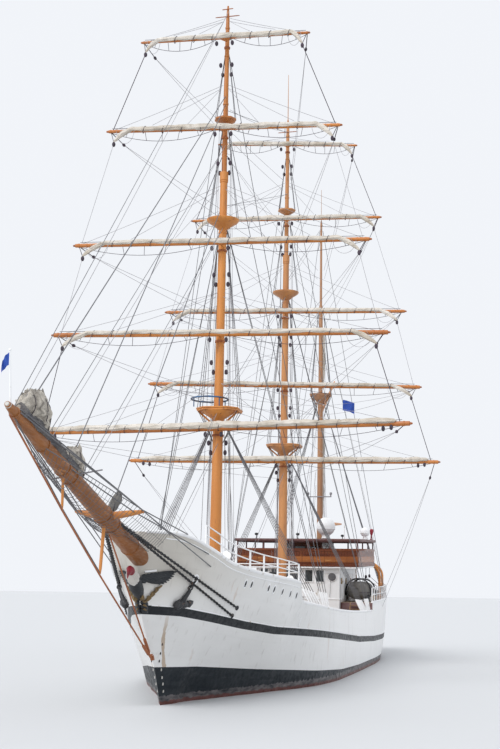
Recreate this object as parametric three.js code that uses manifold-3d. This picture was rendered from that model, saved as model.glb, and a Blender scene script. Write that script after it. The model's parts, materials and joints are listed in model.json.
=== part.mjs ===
// Three-masted barque, modelled at half the size of the real ship.
// Every length below is in metres of the real ship. +X is forward, +Y is port, +Z is up.
// The origin is on the centreline at midships, on the waterline.
import * as THREE from 'three';
import { mergeVertices } from 'three/addons/utils/BufferGeometryUtils.js';
import Module from 'manifold-3d';

const wasm = await Module();
wasm.setup();

const modelMillimetres = 500;   // model length of one real metre, at 1:2
const gap = 0.0008;             // between pieces that touch, 0.4 mm in the model
const weldDistance = 0.01;
const degrees = Math.PI / 180;

const paint = (color, roughness = 0.6, metalness = 0) =>
  new THREE.MeshStandardMaterial({ color, roughness, metalness });
const materials = {
  hullWhite: paint(0xe9e7e2, 0.45),
  houseWhite: paint(0xf2f0ec, 0.5),
  bottomRed: paint(0x6d2a24, 0.7),
  sparOchre: paint(0xd9822b, 0.5),
  varnish: paint(0x7a3418, 0.35),
  roofBrown: paint(0x6b3a33, 0.55),
  canvas: paint(0xd8cfc0, 0.9),
  blackIron: paint(0x1b1d20, 0.55),
  bronze: paint(0x9a6b34, 0.35, 0.8),
  teak: paint(0x9b7a55, 0.8),
  grey: paint(0x8b8d8f, 0.8),
  rustOrange: paint(0xb4602b, 0.7),
};

// Meshes and solids

function closed(geometry) {
  const bare = geometry.clone();
  bare.deleteAttribute('normal');
  bare.deleteAttribute('uv');
  const merged = mergeVertices(bare, weldDistance);
  const corners = merged.index.array;
  const kept = [];
  for (let i = 0; i < corners.length; i += 3) {
    const [a, b, c] = [corners[i], corners[i + 1], corners[i + 2]];
    if (a !== b && b !== c && c !== a) kept.push(a, b, c);
  }
  merged.setIndex(kept);
  return merged;
}

function solid(geometry) {
  const mesh = closed(geometry);
  return new wasm.Manifold(new wasm.Mesh({
    numProp: 3,
    vertProperties: new Float32Array(mesh.attributes.position.array),
    triVerts: Uint32Array.from(mesh.index.array),
  }));
}

function geometryOf(manifold) {
  const mesh = manifold.getMesh();
  const geometry = new THREE.BufferGeometry();
  geometry.setAttribute('position', new THREE.BufferAttribute(mesh.vertProperties, 3));
  geometry.setIndex(Array.from(mesh.triVerts));
  return geometry;
}

const join = (...geometries) =>
  geometryOf(geometries.map(solid).reduce((whole, piece) => whole.add(piece)));
const cut = (geometry, ...tools) =>
  geometryOf(tools.map(solid).reduce((whole, tool) => whole.subtract(tool), solid(geometry)));

// Basic shapes, from sizes in real metres

const point = (x, y, z) => new THREE.Vector3(x, y, z).multiplyScalar(modelMillimetres);

// Rings hold the same number of points and follow one another along the loft's direction,
// each anticlockwise as seen from its far end.
function loft(rings) {
  const positions = [];
  const put = (...corners) => corners.forEach(p => positions.push(p.x, p.y, p.z));
  const count = rings[0].length;
  for (let i = 0; i + 1 < rings.length; i += 1) {
    for (let j = 0; j < count; j += 1) {
      const next = (j + 1) % count;
      put(rings[i][j], rings[i][next], rings[i + 1][next]);
      put(rings[i][j], rings[i + 1][next], rings[i + 1][j]);
    }
  }
  const middle = ring => ring.reduce((sum, p) => sum.add(p), new THREE.Vector3()).divideScalar(count);
  const first = rings[0];
  const last = rings[rings.length - 1];
  for (let j = 0; j < count; j += 1) {
    const next = (j + 1) % count;
    put(middle(first), first[next], first[j]);
    put(middle(last), last[j], last[next]);
  }
  const geometry = new THREE.BufferGeometry();
  geometry.setAttribute('position', new THREE.Float32BufferAttribute(positions, 3));
  return geometry;
}

function box(xRange, yRange, zRange) {
  const [low, high] = [0, 1].map(end => point(xRange[end], yRange[end], zRange[end]));
  const size = high.clone().sub(low);
  const centre = low.clone().add(high).divideScalar(2);
  return new THREE.BoxGeometry(size.x, size.y, size.z).translate(centre.x, centre.y, centre.z);
}

// Profile rows are [height, radius]; the shape stands on the Z axis.
function turned(profile, sides = 12) {
  const outline = [[profile[0][0], 0], ...profile, [profile[profile.length - 1][0], 0]];
  const points = outline.map(([height, radius]) =>
    new THREE.Vector2(radius * modelMillimetres, height * modelMillimetres));
  return new THREE.LatheGeometry(points, sides).rotateX(Math.PI / 2);
}

// Profile rows are [share of the length from one end, radius]; the rod runs from start to end.
function rod(start, end, profile, sides = 8) {
  const along = end.clone().sub(start);
  const length = along.length() / modelMillimetres;
  const shape = turned(profile.map(([share, radius]) => [share * length, radius]), sides);
  const turn = new THREE.Quaternion().setFromUnitVectors(new THREE.Vector3(0, 0, 1), along.normalize());
  return shape.applyQuaternion(turn).translate(start.x, start.y, start.z);
}

const bar = (start, end, radius, sides = 6) => rod(start, end, [[0, radius], [1, radius]], sides);

function addPiece(parent, name, geometry, material) {
  const mesh = new THREE.Mesh(closed(geometry), material);
  mesh.name = name;
  parent.add(mesh);
  return mesh;
}

const ship = new THREE.Group();

// Hull lines. One row for each section, from the stern to the stem. Each pair is a half-breadth
// and a height: at the bilge, at the waterline, at the dark sheer stripe and at the rail.
const sections = [
  { x: -31.2, keel: 3.0, bilge: [0.3, 3.2], water: [0.45, 3.5], stripe: [0.55, 3.9], rail: [0.6, 4.7] },
  { x: -30.6, keel: 2.2, bilge: [0.9, 2.4], water: [1.4, 2.8], stripe: [1.75, 3.3], rail: [1.9, 4.68] },
  { x: -29.4, keel: 1.3, bilge: [1.3, 1.5], water: [2.1, 1.95], stripe: [2.7, 2.6], rail: [3.0, 4.64] },
  { x: -27.6, keel: 0.3, bilge: [1.4, 0.5], water: [2.6, 1.05], stripe: [3.5, 2.0], rail: [3.9, 4.6] },
  { x: -24.7, keel: -0.9, bilge: [0.9, -0.5], water: [2.9, 0.3], stripe: [4.1, 1.78], rail: [4.45, 4.55] },
  { x: -24.5, keel: -4.4, bilge: [0.3, -1.7], water: [2.8, 0.2], stripe: [4.12, 1.77], rail: [4.48, 4.54] },
  { x: -20.0, keel: -4.4, bilge: [1.6, -2.5], water: [4.3, 0], stripe: [4.8, 1.74], rail: [4.95, 4.45] },
  { x: -14.0, keel: -4.4, bilge: [3.6, -3.0], water: [5.1, 0], stripe: [5.25, 1.74], rail: [5.2, 4.35] },
  { x: -8.3, keel: -4.4, bilge: [4.4, -3.3], water: [5.33, 0], stripe: [5.36, 1.8], rail: [5.27, 4.25] },
  { x: -8.1, keel: -4.4, bilge: [4.4, -3.3], water: [5.33, 0], stripe: [5.36, 1.8], rail: [5.28, 3.68] },
  { x: 0, keel: -4.4, bilge: [4.6, -3.4], water: [5.37, 0], stripe: [5.4, 2.05], rail: [5.33, 3.75] },
  { x: 8, keel: -4.4, bilge: [4.2, -3.3], water: [5.3, 0], stripe: [5.38, 2.5], rail: [5.33, 3.96] },
  { x: 13, keel: -4.4, bilge: [3.3, -3.1], water: [4.85, 0], stripe: [5.2, 2.78], rail: [5.28, 4.2] },
  { x: 16, keel: -4.4, bilge: [2.5, -2.9], water: [4.1, 0], stripe: [4.8, 2.95], rail: [5.14, 4.38] },
  { x: 18.9, keel: -4.35, bilge: [1.7, -2.6], water: [3.05, 0], stripe: [4.2, 3.1], rail: [4.9, 4.6] },
  { x: 19.1, keel: -4.35, bilge: [1.65, -2.6], water: [3.0, 0], stripe: [4.16, 3.11], rail: [4.85, 5.52] },
  { x: 21.4, keel: -4.2, bilge: [1.1, -2.4], water: [2.15, 0], stripe: [3.55, 3.28], rail: [4.42, 5.74] },
  { x: 23.8, keel: -3.9, bilge: [0.6, -2.2], water: [1.3, 0], stripe: [2.85, 3.53], rail: [3.76, 5.95] },
  { x: 26.7, keel: -2.7, bilge: [0.18, -1.4], water: [0.4, 0], stripe: [1.98, 3.9], rail: [2.98, 6.36] },
  { x: 28.0, keel: -0.3, bilge: [0.12, 0.4], water: [0.4, 1.4], stripe: [1.6, 4.05], rail: [2.64, 6.75] },
  { x: 29.2, keel: 1.7, bilge: [0.12, 2.0], water: [0.42, 2.8], stripe: [1.2, 4.18], rail: [2.3, 7.1] },
  { x: 30.3, keel: 2.8, bilge: [0.1, 3.0], water: [0.34, 3.5], stripe: [0.82, 4.28], rail: [1.9, 7.4] },
  { x: 31.4, keel: 3.98, bilge: [0.07, 4.08], water: [0.2, 4.35], stripe: [0.42, 4.9], rail: [1.29, 7.57] },
  { x: 31.9, keel: 5.0, bilge: [0.07, 5.1], water: [0.17, 5.4], stripe: [0.34, 6.0], rail: [0.85, 7.58] },
  { x: 32.2, keel: 6.3, bilge: [0.05, 6.38], water: [0.12, 6.6], stripe: [0.2, 6.85], rail: [0.5, 7.59] },
  { x: 32.5, keel: 7.3, bilge: [0.04, 7.34], water: [0.06, 7.4], stripe: [0.08, 7.46], rail: [0.12, 7.6] },
];
const stepsPerSide = 8;
const plateThickness = 0.12;

function halfSection(row) {
  const marks = [[0, row.keel], row.bilge, row.water, row.stripe, row.rail];
  const curve = new THREE.CatmullRomCurve3(marks.map(([y, z]) => new THREE.Vector3(0, y, z)));
  return Array.from({ length: stepsPerSide + 1 }, (_, i) => curve.getPoint(i / stepsPerSide));
}

const hullRings = sections.map(row => {
  const port = halfSection(row).map(p => [Math.max(p.y, 0), p.z]);
  const starboard = port.slice(1).reverse().map(([y, z]) => [-y, z]);
  return [...port, ...starboard].map(([y, z]) => point(row.x, y, z));
});

function between(x) {
  const upper = Math.max(1, sections.findIndex(row => row.x >= x));
  const [aft, fore] = [sections[upper - 1], sections[upper]];
  return { aft, fore, share: (x - aft.x) / (fore.x - aft.x) };
}

function railHeight(x) {
  const { aft, fore, share } = between(x);
  return THREE.MathUtils.lerp(aft.rail[1], fore.rail[1], share);
}

function hullSide(x, z) {
  const { aft, fore, share } = between(x);
  const [low, high] = [halfSection(aft), halfSection(fore)];
  const line = low.map((p, i) => p.clone().lerp(high[i], share));
  const upper = Math.max(1, line.findIndex(p => p.z >= z));
  const [under, over] = [line[upper - 1], line[upper]];
  return THREE.MathUtils.lerp(under.y, over.y, (z - under.z) / (over.z - under.z));
}

// A sunk deck between bulwarks. Rows are [x, deck height, height of the top of the bulwark].
function deckWell(rows) {
  return loft(rows.map(([x, deck, top]) => {
    const floorSide = hullSide(x, deck) - plateThickness;
    const topSide = hullSide(x, top) - plateThickness;
    return [point(x, -floorSide, deck), point(x, floorSide, deck),
      point(x, topSide, top + 1), point(x, -topSide, top + 1)];
  }));
}

const bulwarkHeight = 1.15;
const waistDeck = x => railHeight(x) - bulwarkHeight;
const waistRows = [-8.1, 0, 8, 13, 16, 18.85].map(x => [x, waistDeck(x), railHeight(x) - 0.01]);
// Rows are [x, deck height]; the deck falls further below the rising rail towards the stem.
const forecastleMarks = [[19.3, 5.42], [21.4, 5.6], [23.8, 5.76], [26.7, 5.95], [28, 6.05],
  [29.2, 6.15], [30.3, 6.25], [31.2, 6.3]];
const forecastleRows = forecastleMarks.map(([x, deck]) => [x, deck, railHeight(x) - 0.01]);

function forecastleDeck(x) {
  const next = Math.max(1, forecastleMarks.findIndex(([mark]) => mark >= x));
  const [[aftX, aftZ], [foreX, foreZ]] = [forecastleMarks[next - 1], forecastleMarks[next]];
  return THREE.MathUtils.mapLinear(x, aftX, foreX, aftZ, foreZ);
}

const bowspritHeel = point(30.9, 0, 6.19);
const bowspritTip = point(47.58, 0, 11.11);
const bowspritProfile = [[0, 0.40], [0.35, 0.38], [0.7, 0.3], [0.93, 0.2], [1, 0.12]];
const keelBar = box([-26.9, 21], [-0.14, 0.14], [-4.55, -4.25]);
const bowspritSlot = bar(bowspritHeel.clone().lerp(bowspritTip, -0.001),
  bowspritHeel.clone().lerp(bowspritTip, 0.3), 0.40 + gap, 16);
const hullBody = join(loft(hullRings), keelBar);
const hullSolid = cut(hullBody, deckWell(waistRows), deckWell(forecastleRows), bowspritSlot);
addPiece(ship, 'hull', hullSolid, materials.hullWhite);

// Rudder and propeller

const rudderAxisX = -26.4;
const rudderOutline = [[0.35, -4.1], [0.35, -0.75], [-0.5, -0.62], [-1.6, -1.0], [-1.75, -2.2], [-1.5, -4.1]];
const rudderThickness = 0.26;
const rudderShape = new THREE.Shape(rudderOutline.map(([x, z]) =>
  new THREE.Vector2((x + rudderAxisX) * modelMillimetres, z * modelMillimetres)));
const rudder = new THREE.ExtrudeGeometry(rudderShape, {
  depth: rudderThickness * modelMillimetres, bevelEnabled: false,
}).rotateX(Math.PI / 2).translate(0, rudderThickness / 2 * modelMillimetres, 0);
addPiece(ship, 'rudder', rudder, materials.bottomRed);

const propellerAt = point(-25.25, 0, -2.6);
const propellerRadius = 0.95;
const bladeCount = 4;
const hub = rod(propellerAt.clone().add(point(0.35, 0, 0)), propellerAt.clone().add(point(-0.3, 0, 0)),
  [[0, 0.2], [0.6, 0.2], [1, 0.08]], 12);
const blades = Array.from({ length: bladeCount }, (_, i) =>
  box([-0.03, 0.03], [-0.24, 0.24], [0.1, propellerRadius])
    .rotateZ(28 * degrees)
    .rotateX((i * 360 / bladeCount) * degrees)
    .translate(propellerAt.x, propellerAt.y, propellerAt.z));
addPiece(ship, 'propeller', join(hub, ...blades), materials.bronze);

// Houses and bridge

const houseHalf = 3.0;
const houseFront = -7.7;
const houseAft = -16.4;
const poopBreak = -8.1;
const bridgeFront = -7.2;
const bridgeAft = -16.6;
const bridgeHalf = 4.4;
const bridgeSlope = 0.025;      // the bridge rises aft with the sheer
const bridgeDeck = x => 6.6 + (bridgeFront - x) * bridgeSlope;
const roofTop = x => 8.68 + (bridgeFront - x) * bridgeSlope;

// A slab between two heights that are functions of x, cut square at both ends.
function slab(fore, aft, half, underside, top) {
  return loft([aft, fore].map(x => [point(x, -half, underside(x)), point(x, half, underside(x)),
    point(x, half, top(x)), point(x, -half, top(x))]));
}

function houseOutline(x, floor) {
  const top = bridgeDeck(x) - gap;
  return [point(x, -houseHalf, floor), point(x, houseHalf, floor),
    point(x, houseHalf, top), point(x, -houseHalf, top)];
}
addPiece(ship, 'deckhouse', loft([
  houseOutline(houseAft, railHeight(houseAft) + gap),
  houseOutline(-14, railHeight(-14) + gap),
  houseOutline(poopBreak - 0.2 + gap, railHeight(-8.3) + gap),
  houseOutline(poopBreak + gap, railHeight(-8.3) + gap),
  houseOutline(poopBreak + 2 * gap, waistDeck(poopBreak) + gap),
  houseOutline(houseFront, waistDeck(houseFront) + gap),
]), materials.houseWhite);

const waistHouse = slab(12.0, 3.0, 2.3, x => waistDeck(x) + gap, x => waistDeck(x) + 2.1);
addPiece(ship, 'waist_house', waistHouse, materials.houseWhite);

const bulwarkTop = x => bridgeDeck(x) + 1.35;
const bulwarkWall = 0.08;
const slabThickness = 0.12;
const bridgeBox = slab(bridgeFront, bridgeAft, bridgeHalf, bridgeDeck, bulwarkTop);
const bridgeInside = slab(bridgeFront - bulwarkWall, bridgeAft + bulwarkWall, bridgeHalf - bulwarkWall,
  x => bridgeDeck(x) + slabThickness, x => bulwarkTop(x) + 1);
addPiece(ship, 'bridge', cut(bridgeBox, bridgeInside), materials.varnish);

const roofUnder = x => roofTop(x) - 0.2;
const posts = [bridgeFront - 0.06, -10.3, -13.5, bridgeAft + 0.06].flatMap(x => [-1, 1].map(side =>
  box([x - 0.06, x + 0.06], [side * (bridgeHalf - 0.1) - 0.06, side * (bridgeHalf - 0.1) + 0.06],
    [bulwarkTop(x) + 4 * gap, roofTop(x) - 0.05])));
const frontPosts = [-2.4, 2.4].map(y =>
  box([bridgeFront - 0.16, bridgeFront - 0.04], [y - 0.06, y + 0.06],
    [bulwarkTop(bridgeFront - 0.16) + 2 * gap, roofTop(bridgeFront) - 0.05]));
addPiece(ship, 'bridge_roof', join(slab(bridgeFront + 0.1, bridgeAft - 0.1, bridgeHalf + 0.1, roofUnder, roofTop),
  ...posts, ...frontPosts), materials.roofBrown);

const wheelhouseFront = -8.6;
const wheelhouseAft = -14.4;
const wheelhouseHalf = 1.6;
const wheelhouseWall = 0.08;
const wheelhouseFloor = x => bridgeDeck(x) + slabThickness + gap;
const wheelhouseTop = x => roofUnder(x) - gap;
const wheelhouseShell = slab(wheelhouseFront, wheelhouseAft, wheelhouseHalf, wheelhouseFloor, wheelhouseTop);
const wheelhouseInside = slab(wheelhouseFront - wheelhouseWall, wheelhouseAft + wheelhouseWall,
  wheelhouseHalf - wheelhouseWall, x => wheelhouseFloor(x) - 1, x => wheelhouseTop(x) - wheelhouseWall);
const windowBottom = 0.85;
const windowHeight = 0.6;
const sideWindows = [-9.6, -11.1, -12.6, -13.7].map(x =>
  box([x - 0.4, x + 0.4], [-2, 2],
    [wheelhouseFloor(x) + windowBottom, wheelhouseFloor(x) + windowBottom + windowHeight]));
const frontWindows = [-1.0, 0, 1.0].map(y =>
  box([wheelhouseFront - 0.3, wheelhouseFront + 0.3], [y - 0.38, y + 0.38],
    [wheelhouseFloor(wheelhouseFront) + windowBottom,
      wheelhouseFloor(wheelhouseFront) + windowBottom + windowHeight]));
const aftDoor = box([wheelhouseAft - 0.3, wheelhouseAft + 0.3], [-0.4, 0.4],
  [wheelhouseFloor(wheelhouseAft) - 0.5, wheelhouseFloor(wheelhouseAft) + 1.5]);
addPiece(ship, 'wheelhouse', cut(wheelhouseShell, wheelhouseInside, ...sideWindows, ...frontWindows, aftDoor),
  materials.varnish);

// Rows are name, place and radius of each dome; the dome stands on a short foot on the roof.
const domes = [
  { name: 'radome_large', x: -9.2, y: 1.78, radius: 0.67 },
  { name: 'radome_small', x: -13.5, y: 4.08, radius: 0.36 },
];
for (const { name, x, y, radius } of domes) {
  const foot = roofTop(x - radius) + gap;
  const lift = 0.2;
  const arc = Array.from({ length: 9 }, (_, i) => {
    const angle = (-60 + i * 150 / 8) * degrees;
    return [foot + lift + radius * (1 + Math.sin(angle)), radius * Math.cos(angle)];
  });
  const dome = turned([[foot, radius * 0.45], [foot + lift, radius * 0.45], ...arc], 16)
    .translate(x * modelMillimetres, y * modelMillimetres, 0);
  addPiece(ship, name, dome, materials.houseWhite);
}

// Railings. Each is one run of posts and bars along the deck edge, port to starboard.

function railing(path, height, posted) {
  const bars = [];
  for (let i = 0; i + 1 < path.length; i += 1) {
    for (const level of [height, height * 0.5]) {
      const [from, to] = [path[i], path[i + 1]].map(([x, y, z]) => point(x, y, z + level));
      bars.push(rod(from, to, [[-0.002, 0.03], [1.002, 0.03]], 4));
    }
  }
  for (const i of posted) {
    const [x, y, z] = path[i];
    bars.push(bar(point(x, y, z + gap), point(x, y, z + height + 0.01), 0.04, 4));
  }
  return join(...bars);
}

const railInset = 0.06;
const railLift = 0.02;
const forecastlePortRail = [29.2, 28, 26.7, 25.2, 23.8, 22.2, 20.8, 19.3].map(x =>
  [x, hullSide(x, railHeight(x) - 0.02) - railInset, railHeight(x) + railLift]);
const mirrored = path => path.slice().reverse().map(([x, y, z]) => [x, -y, z]);
const forecastlePath = [...forecastlePortRail, ...mirrored(forecastlePortRail)];
addPiece(ship, 'forecastle_railing', railing(forecastlePath, 0.9, forecastlePath.map((_, i) => i)),
  materials.houseWhite);

const poopPortRail = [-8.5, -11, -14, -17, -20, -22.5, -24.6, -27.5, -29.4, -30.6].map(x =>
  [x, hullSide(x, railHeight(x) - 0.02) - railInset, railHeight(x) + railLift]);
const poopPath = [...poopPortRail, ...mirrored(poopPortRail)];
addPiece(ship, 'poop_railing', railing(poopPath, 1.0, poopPath.map((_, i) => i)), materials.houseWhite);

// Bowsprit with its whisker booms and strikers

const onBowsprit = (share, drop = 0) => bowspritHeel.clone().lerp(bowspritTip, share).add(point(0, 0, drop));
const shareAt = x => (x - 30.9) / (47.58 - 30.9);
const whiskers = [-1, 1].map(side =>
  rod(onBowsprit(shareAt(37)), point(36.4, side * 1.43, 8.24), [[0, 0.16], [0.5, 0.13], [1, 0.06]], 8));
const outerStriker = bar(onBowsprit(shareAt(42)), point(42, 0, 8.1), 0.07);
const innerStriker = bar(onBowsprit(shareAt(37)), point(37.4, 0, 5.83), 0.09);
addPiece(ship, 'bowsprit', join(rod(bowspritHeel, bowspritTip, bowspritProfile, 16), ...whiskers,
  outerStriker, innerStriker), materials.sparOchre);

// Bobstays run from the bowsprit over the strikers to the plate on the stem.
const bobstayFoot = point(29.8, 0, 2.14);
const bobstayRuns = [
  [onBowsprit(0.985, -0.26), point(42, 0, 7.98), point(37.4, 0, 5.7), bobstayFoot],
  [onBowsprit(shareAt(36.3), -0.5), bobstayFoot],
];
const bobstays = bobstayRuns.flatMap(run =>
  run.slice(1).map((end, i) => rod(run[i], end, [[-0.001, 0.05], [1.001, 0.05]], 6)));
addPiece(ship, 'bobstays', join(...bobstays), materials.rustOrange);

// Figure of a generic bird: a body ahead of the stem, and wings that lie along both bows.

function blob(rows, sides = 10) {
  return loft(rows.map(([x, y, z, halfWide, halfHigh]) => Array.from({ length: sides }, (_, i) => {
    const angle = i / sides * 2 * Math.PI;
    return point(x, y + halfWide * Math.cos(angle), z + halfHigh * Math.sin(angle));
  })));
}
const birdBody = blob([[31.3, 0, 4.55, 0.1, 0.12], [31.9, 0, 4.95, 0.3, 0.38], [32.5, 0, 5.35, 0.34, 0.42],
  [33.0, 0, 5.75, 0.2, 0.22], [33.4, 0, 5.85, 0.17, 0.17], [33.7, 0, 5.72, 0.05, 0.07]]);
const wingThickness = 0.09;
// Rows are [x, low edge, high edge] of a wing.
const wingRows = [[29.4, 5.85, 6.0], [30.3, 5.45, 6.2], [31.2, 5.2, 6.15], [31.9, 5.1, 5.8], [32.2, 5.1, 5.6]];
const wing = side => loft(wingRows.map(([x, low, high]) => {
  const inner = z => side * (hullSide(Math.min(x, 31.7), z) + 0.03);
  const outer = z => inner(z) + side * wingThickness;
  const ring = [point(x, inner(low), low), point(x, outer(low), low),
    point(x, outer(high), high), point(x, inner(high), high)];
  return side > 0 ? ring : ring.reverse();
}));
const clearanceScale = 1.0004;
const hullClear = loft(hullRings.map(ring => ring.map(p =>
  new THREE.Vector3(p.x * clearanceScale + 0.5, p.y + Math.sign(p.y) * 1, p.z))));
addPiece(ship, 'figurehead', cut(join(birdBody, wing(1), wing(-1)), hullClear), materials.blackIron);

// Anchors hang close against the bows below their hawse pipes.
for (const [name, side] of [['anchor_port', 1], ['anchor_starboard', -1]]) {
  const [x, top, bottom] = [30.0, 5.2, 4.45];
  const y = z => side * (hullSide(x, z) + 0.16);
  const shank = bar(point(x + 0.1, y(top), top), point(x, y(bottom), bottom), 0.07, 6);
  const flukes = [-0.5, 0.5].map(reach => rod(point(x, y(bottom), bottom),
    point(x + reach, side * (hullSide(x + reach, 4.75) + 0.16), 4.75), [[-0.05, 0.09], [1, 0.04]], 6));
  addPiece(ship, name, cut(join(shank, ...flukes), hullClear), materials.blackIron);
}

// Helm, windlass, workboat and davits

const deckUnderHelm = railHeight(-22);
const helmAxis = point(-21.7, 0, deckUnderHelm + 1.15);
addPiece(ship, 'helm_pedestal', join(
  box([-21.6, -21.1], [-0.3, 0.3], [deckUnderHelm + 0.03, deckUnderHelm + 1.35])), materials.teak);
const wheelRadius = 0.75;
const rim = new THREE.TorusGeometry(wheelRadius * modelMillimetres, 0.045 * modelMillimetres, 8, 24)
  .rotateY(Math.PI / 2).translate(helmAxis.x, helmAxis.y, helmAxis.z);
const spokeCount = 8;
const spokes = Array.from({ length: spokeCount / 2 }, (_, i) => {
  const angle = i * 2 * Math.PI / spokeCount;
  const reach = point(0, Math.cos(angle), Math.sin(angle)).multiplyScalar(wheelRadius + 0.18);
  return bar(helmAxis.clone().sub(reach), helmAxis.clone().add(reach), 0.028, 6);
});
const boss = bar(helmAxis.clone().add(point(0.06, 0, 0)), helmAxis.clone().add(point(-0.1, 0, 0)), 0.12, 12);
addPiece(ship, 'helm_wheel', join(rim, boss, ...spokes), materials.teak);

const windlassX = 25.75;
const windlassAxle = forecastleDeck(windlassX) + 0.5;
addPiece(ship, 'windlass', join(
  slab(windlassX + 0.55, windlassX - 0.55, 0.9, x => forecastleDeck(x) + gap, x => forecastleDeck(x) + 0.25),
  rod(point(windlassX, -1.2, windlassAxle), point(windlassX, 1.2, windlassAxle),
    [[0, 0.32], [0.12, 0.22], [0.3, 0.22], [0.32, 0.36], [0.68, 0.36], [0.7, 0.22], [0.88, 0.22], [1, 0.32]], 12)),
materials.blackIron);

for (const [name, side] of [['davits_port', 1], ['davits_starboard', -1]]) {
  const heads = [-17.2, -23.2].map(x => {
    const foot = railHeight(x) + 0.02;
    const y = side * (hullSide(x, foot - 0.05) - 0.35);
    const route = [[0, 0], [0, 1.95], [-0.27, 2.36], [-0.65, 2.66], [-1.05, 2.8]]
      .map(([out, up]) => point(x, y + side * out, foot + up));
    return { route, head: route[route.length - 1] };
  });
  const arms = heads.flatMap(({ route }) =>
    route.slice(1).map((end, i) => rod(route[i], end, [[-0.005, 0.1], [1.005, 0.1]], 8)));
  const span = bar(heads[0].head, heads[1].head, 0.04, 6);
  addPiece(ship, name, join(...arms, span), materials.sparOchre);
}

const workboat = blob([[-9.3, 0, 0.85, 0.3, 0.22], [-9.7, 0, 0.78, 0.66, 0.6], [-10.5, 0, 0.78, 0.84, 0.7],
  [-12.7, 0, 0.78, 0.86, 0.7], [-13.5, 0, 0.74, 0.76, 0.56]].reverse(), 12)
  .translate(0, 4.0 * modelMillimetres, (railHeight(-13) + 0.02) * modelMillimetres);
addPiece(ship, 'workboat', workboat, materials.grey);

// Masts. Heights are above the waterline and radii at the axis; each mast leans aft by its rake
// about the point where it passes the height rakeDatum.
const rakeDatum = 4.5;
const topThickness = 0.12;
const footLift = 0.03;          // of a mast's flat foot above the sloping deck
const masts = {
  fore: {
    x: 18.0, rake: 1.58, deck: waistDeck,
    lower: [[0, 0.31], [7.5, 0.31], [13.9, 0.27]],
    heel: 0.24, top: 14.62, topHalf: 1.12, crosstrees: 25.3, crosstreesRadius: 0.9, smallTrees: 31.15,
    topmast: [[19, 0.23], [25.2, 0.21], [28.1, 0.2]],
    topgallant: [[28.1 + gap, 0.15], [31, 0.14], [35.8, 0.12], [37.2, 0.1], [38, 0.05]],
  },
  main: {
    x: -1.58, rake: 0.89, deck: waistDeck,
    lower: [[0, 0.31], [7.5, 0.3], [13.9, 0.27]],
    heel: 0.24, top: 14.64, topHalf: 1.12, crosstrees: 25.35, crosstreesRadius: 0.9, smallTrees: 31.2,
    topmast: [[19, 0.23], [25.2, 0.21], [28.0, 0.2]],
    topgallant: [[28.0 + gap, 0.15], [31, 0.14], [35.8, 0.12], [37.6, 0.1], [37.9, 0.03], [41.2, 0.015]],
  },
  mizzen: {
    x: -17.71, rake: -0.5, deck: railHeight,
    lower: [[0, 0.24], [10, 0.23], [19.5, 0.2]],
    heel: 0.17, top: 20.3, topHalf: 0.8,
    topmast: [[27.5, 0.15], [27.7, 0.1], [34.4, 0.08], [34.7, 0.02], [37.2, 0.015]],
  },
};

for (const mast of Object.values(masts)) {
  mast.group = new THREE.Group();
  mast.group.position.copy(point(mast.x, 0, rakeDatum));
  mast.group.rotation.y = -mast.rake * degrees;
  mast.group.updateMatrixWorld();
  ship.add(mast.group);
}

// Stays. Each has its head in the middle of a mast, and its foot against what holds it.
const stayRadius = 0.022;
const footGap = 0.02;
const local = height => height - rakeDatum;
const onMast = (name, height, ahead = 0) =>
  masts[name].group.localToWorld(point(ahead, 0, local(height)));

function onBowspritTop(x) {
  const share = shareAt(x);
  const next = bowspritProfile.findIndex(([mark]) => mark >= share);
  const [[low, lowRadius], [high, highRadius]] = [bowspritProfile[next - 1], bowspritProfile[next]];
  return onBowsprit(share, THREE.MathUtils.mapLinear(share, low, high, lowRadius, highRadius) * 1.04 + footGap);
}

const stay = (head, foot) => bar(head, foot, stayRadius, 6);
// Rows are the piece that carries the head, the height of the head, and the foot.
const mastStays = [
  ['fore_topgallant_mast', 37.3, onBowspritTop(46.95)],
  ['fore_lower_mast', 12.9, point(29.3, 0, forecastleDeck(29.3) + footGap)],
  ['main_topgallant_mast', 36.9, onMast('fore', 31.8, -0.14 - footGap)],
  ['main_topgallant_mast', 32.4, onMast('fore', 26.2, -0.22 - footGap)],
  ['main_topmast', 25.1, onMast('fore', 15.1, -0.25 - footGap)],
  ['main_lower_mast', 12.9, point(16.2, 0, waistDeck(16.2) + footGap)],
  ['mizzen_topmast', 34.0, onMast('main', 26.2, -0.22 - footGap)],
  ['mizzen_lower_mast', 20.1, onMast('main', 15.1, -0.25 - footGap)],
];

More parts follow.
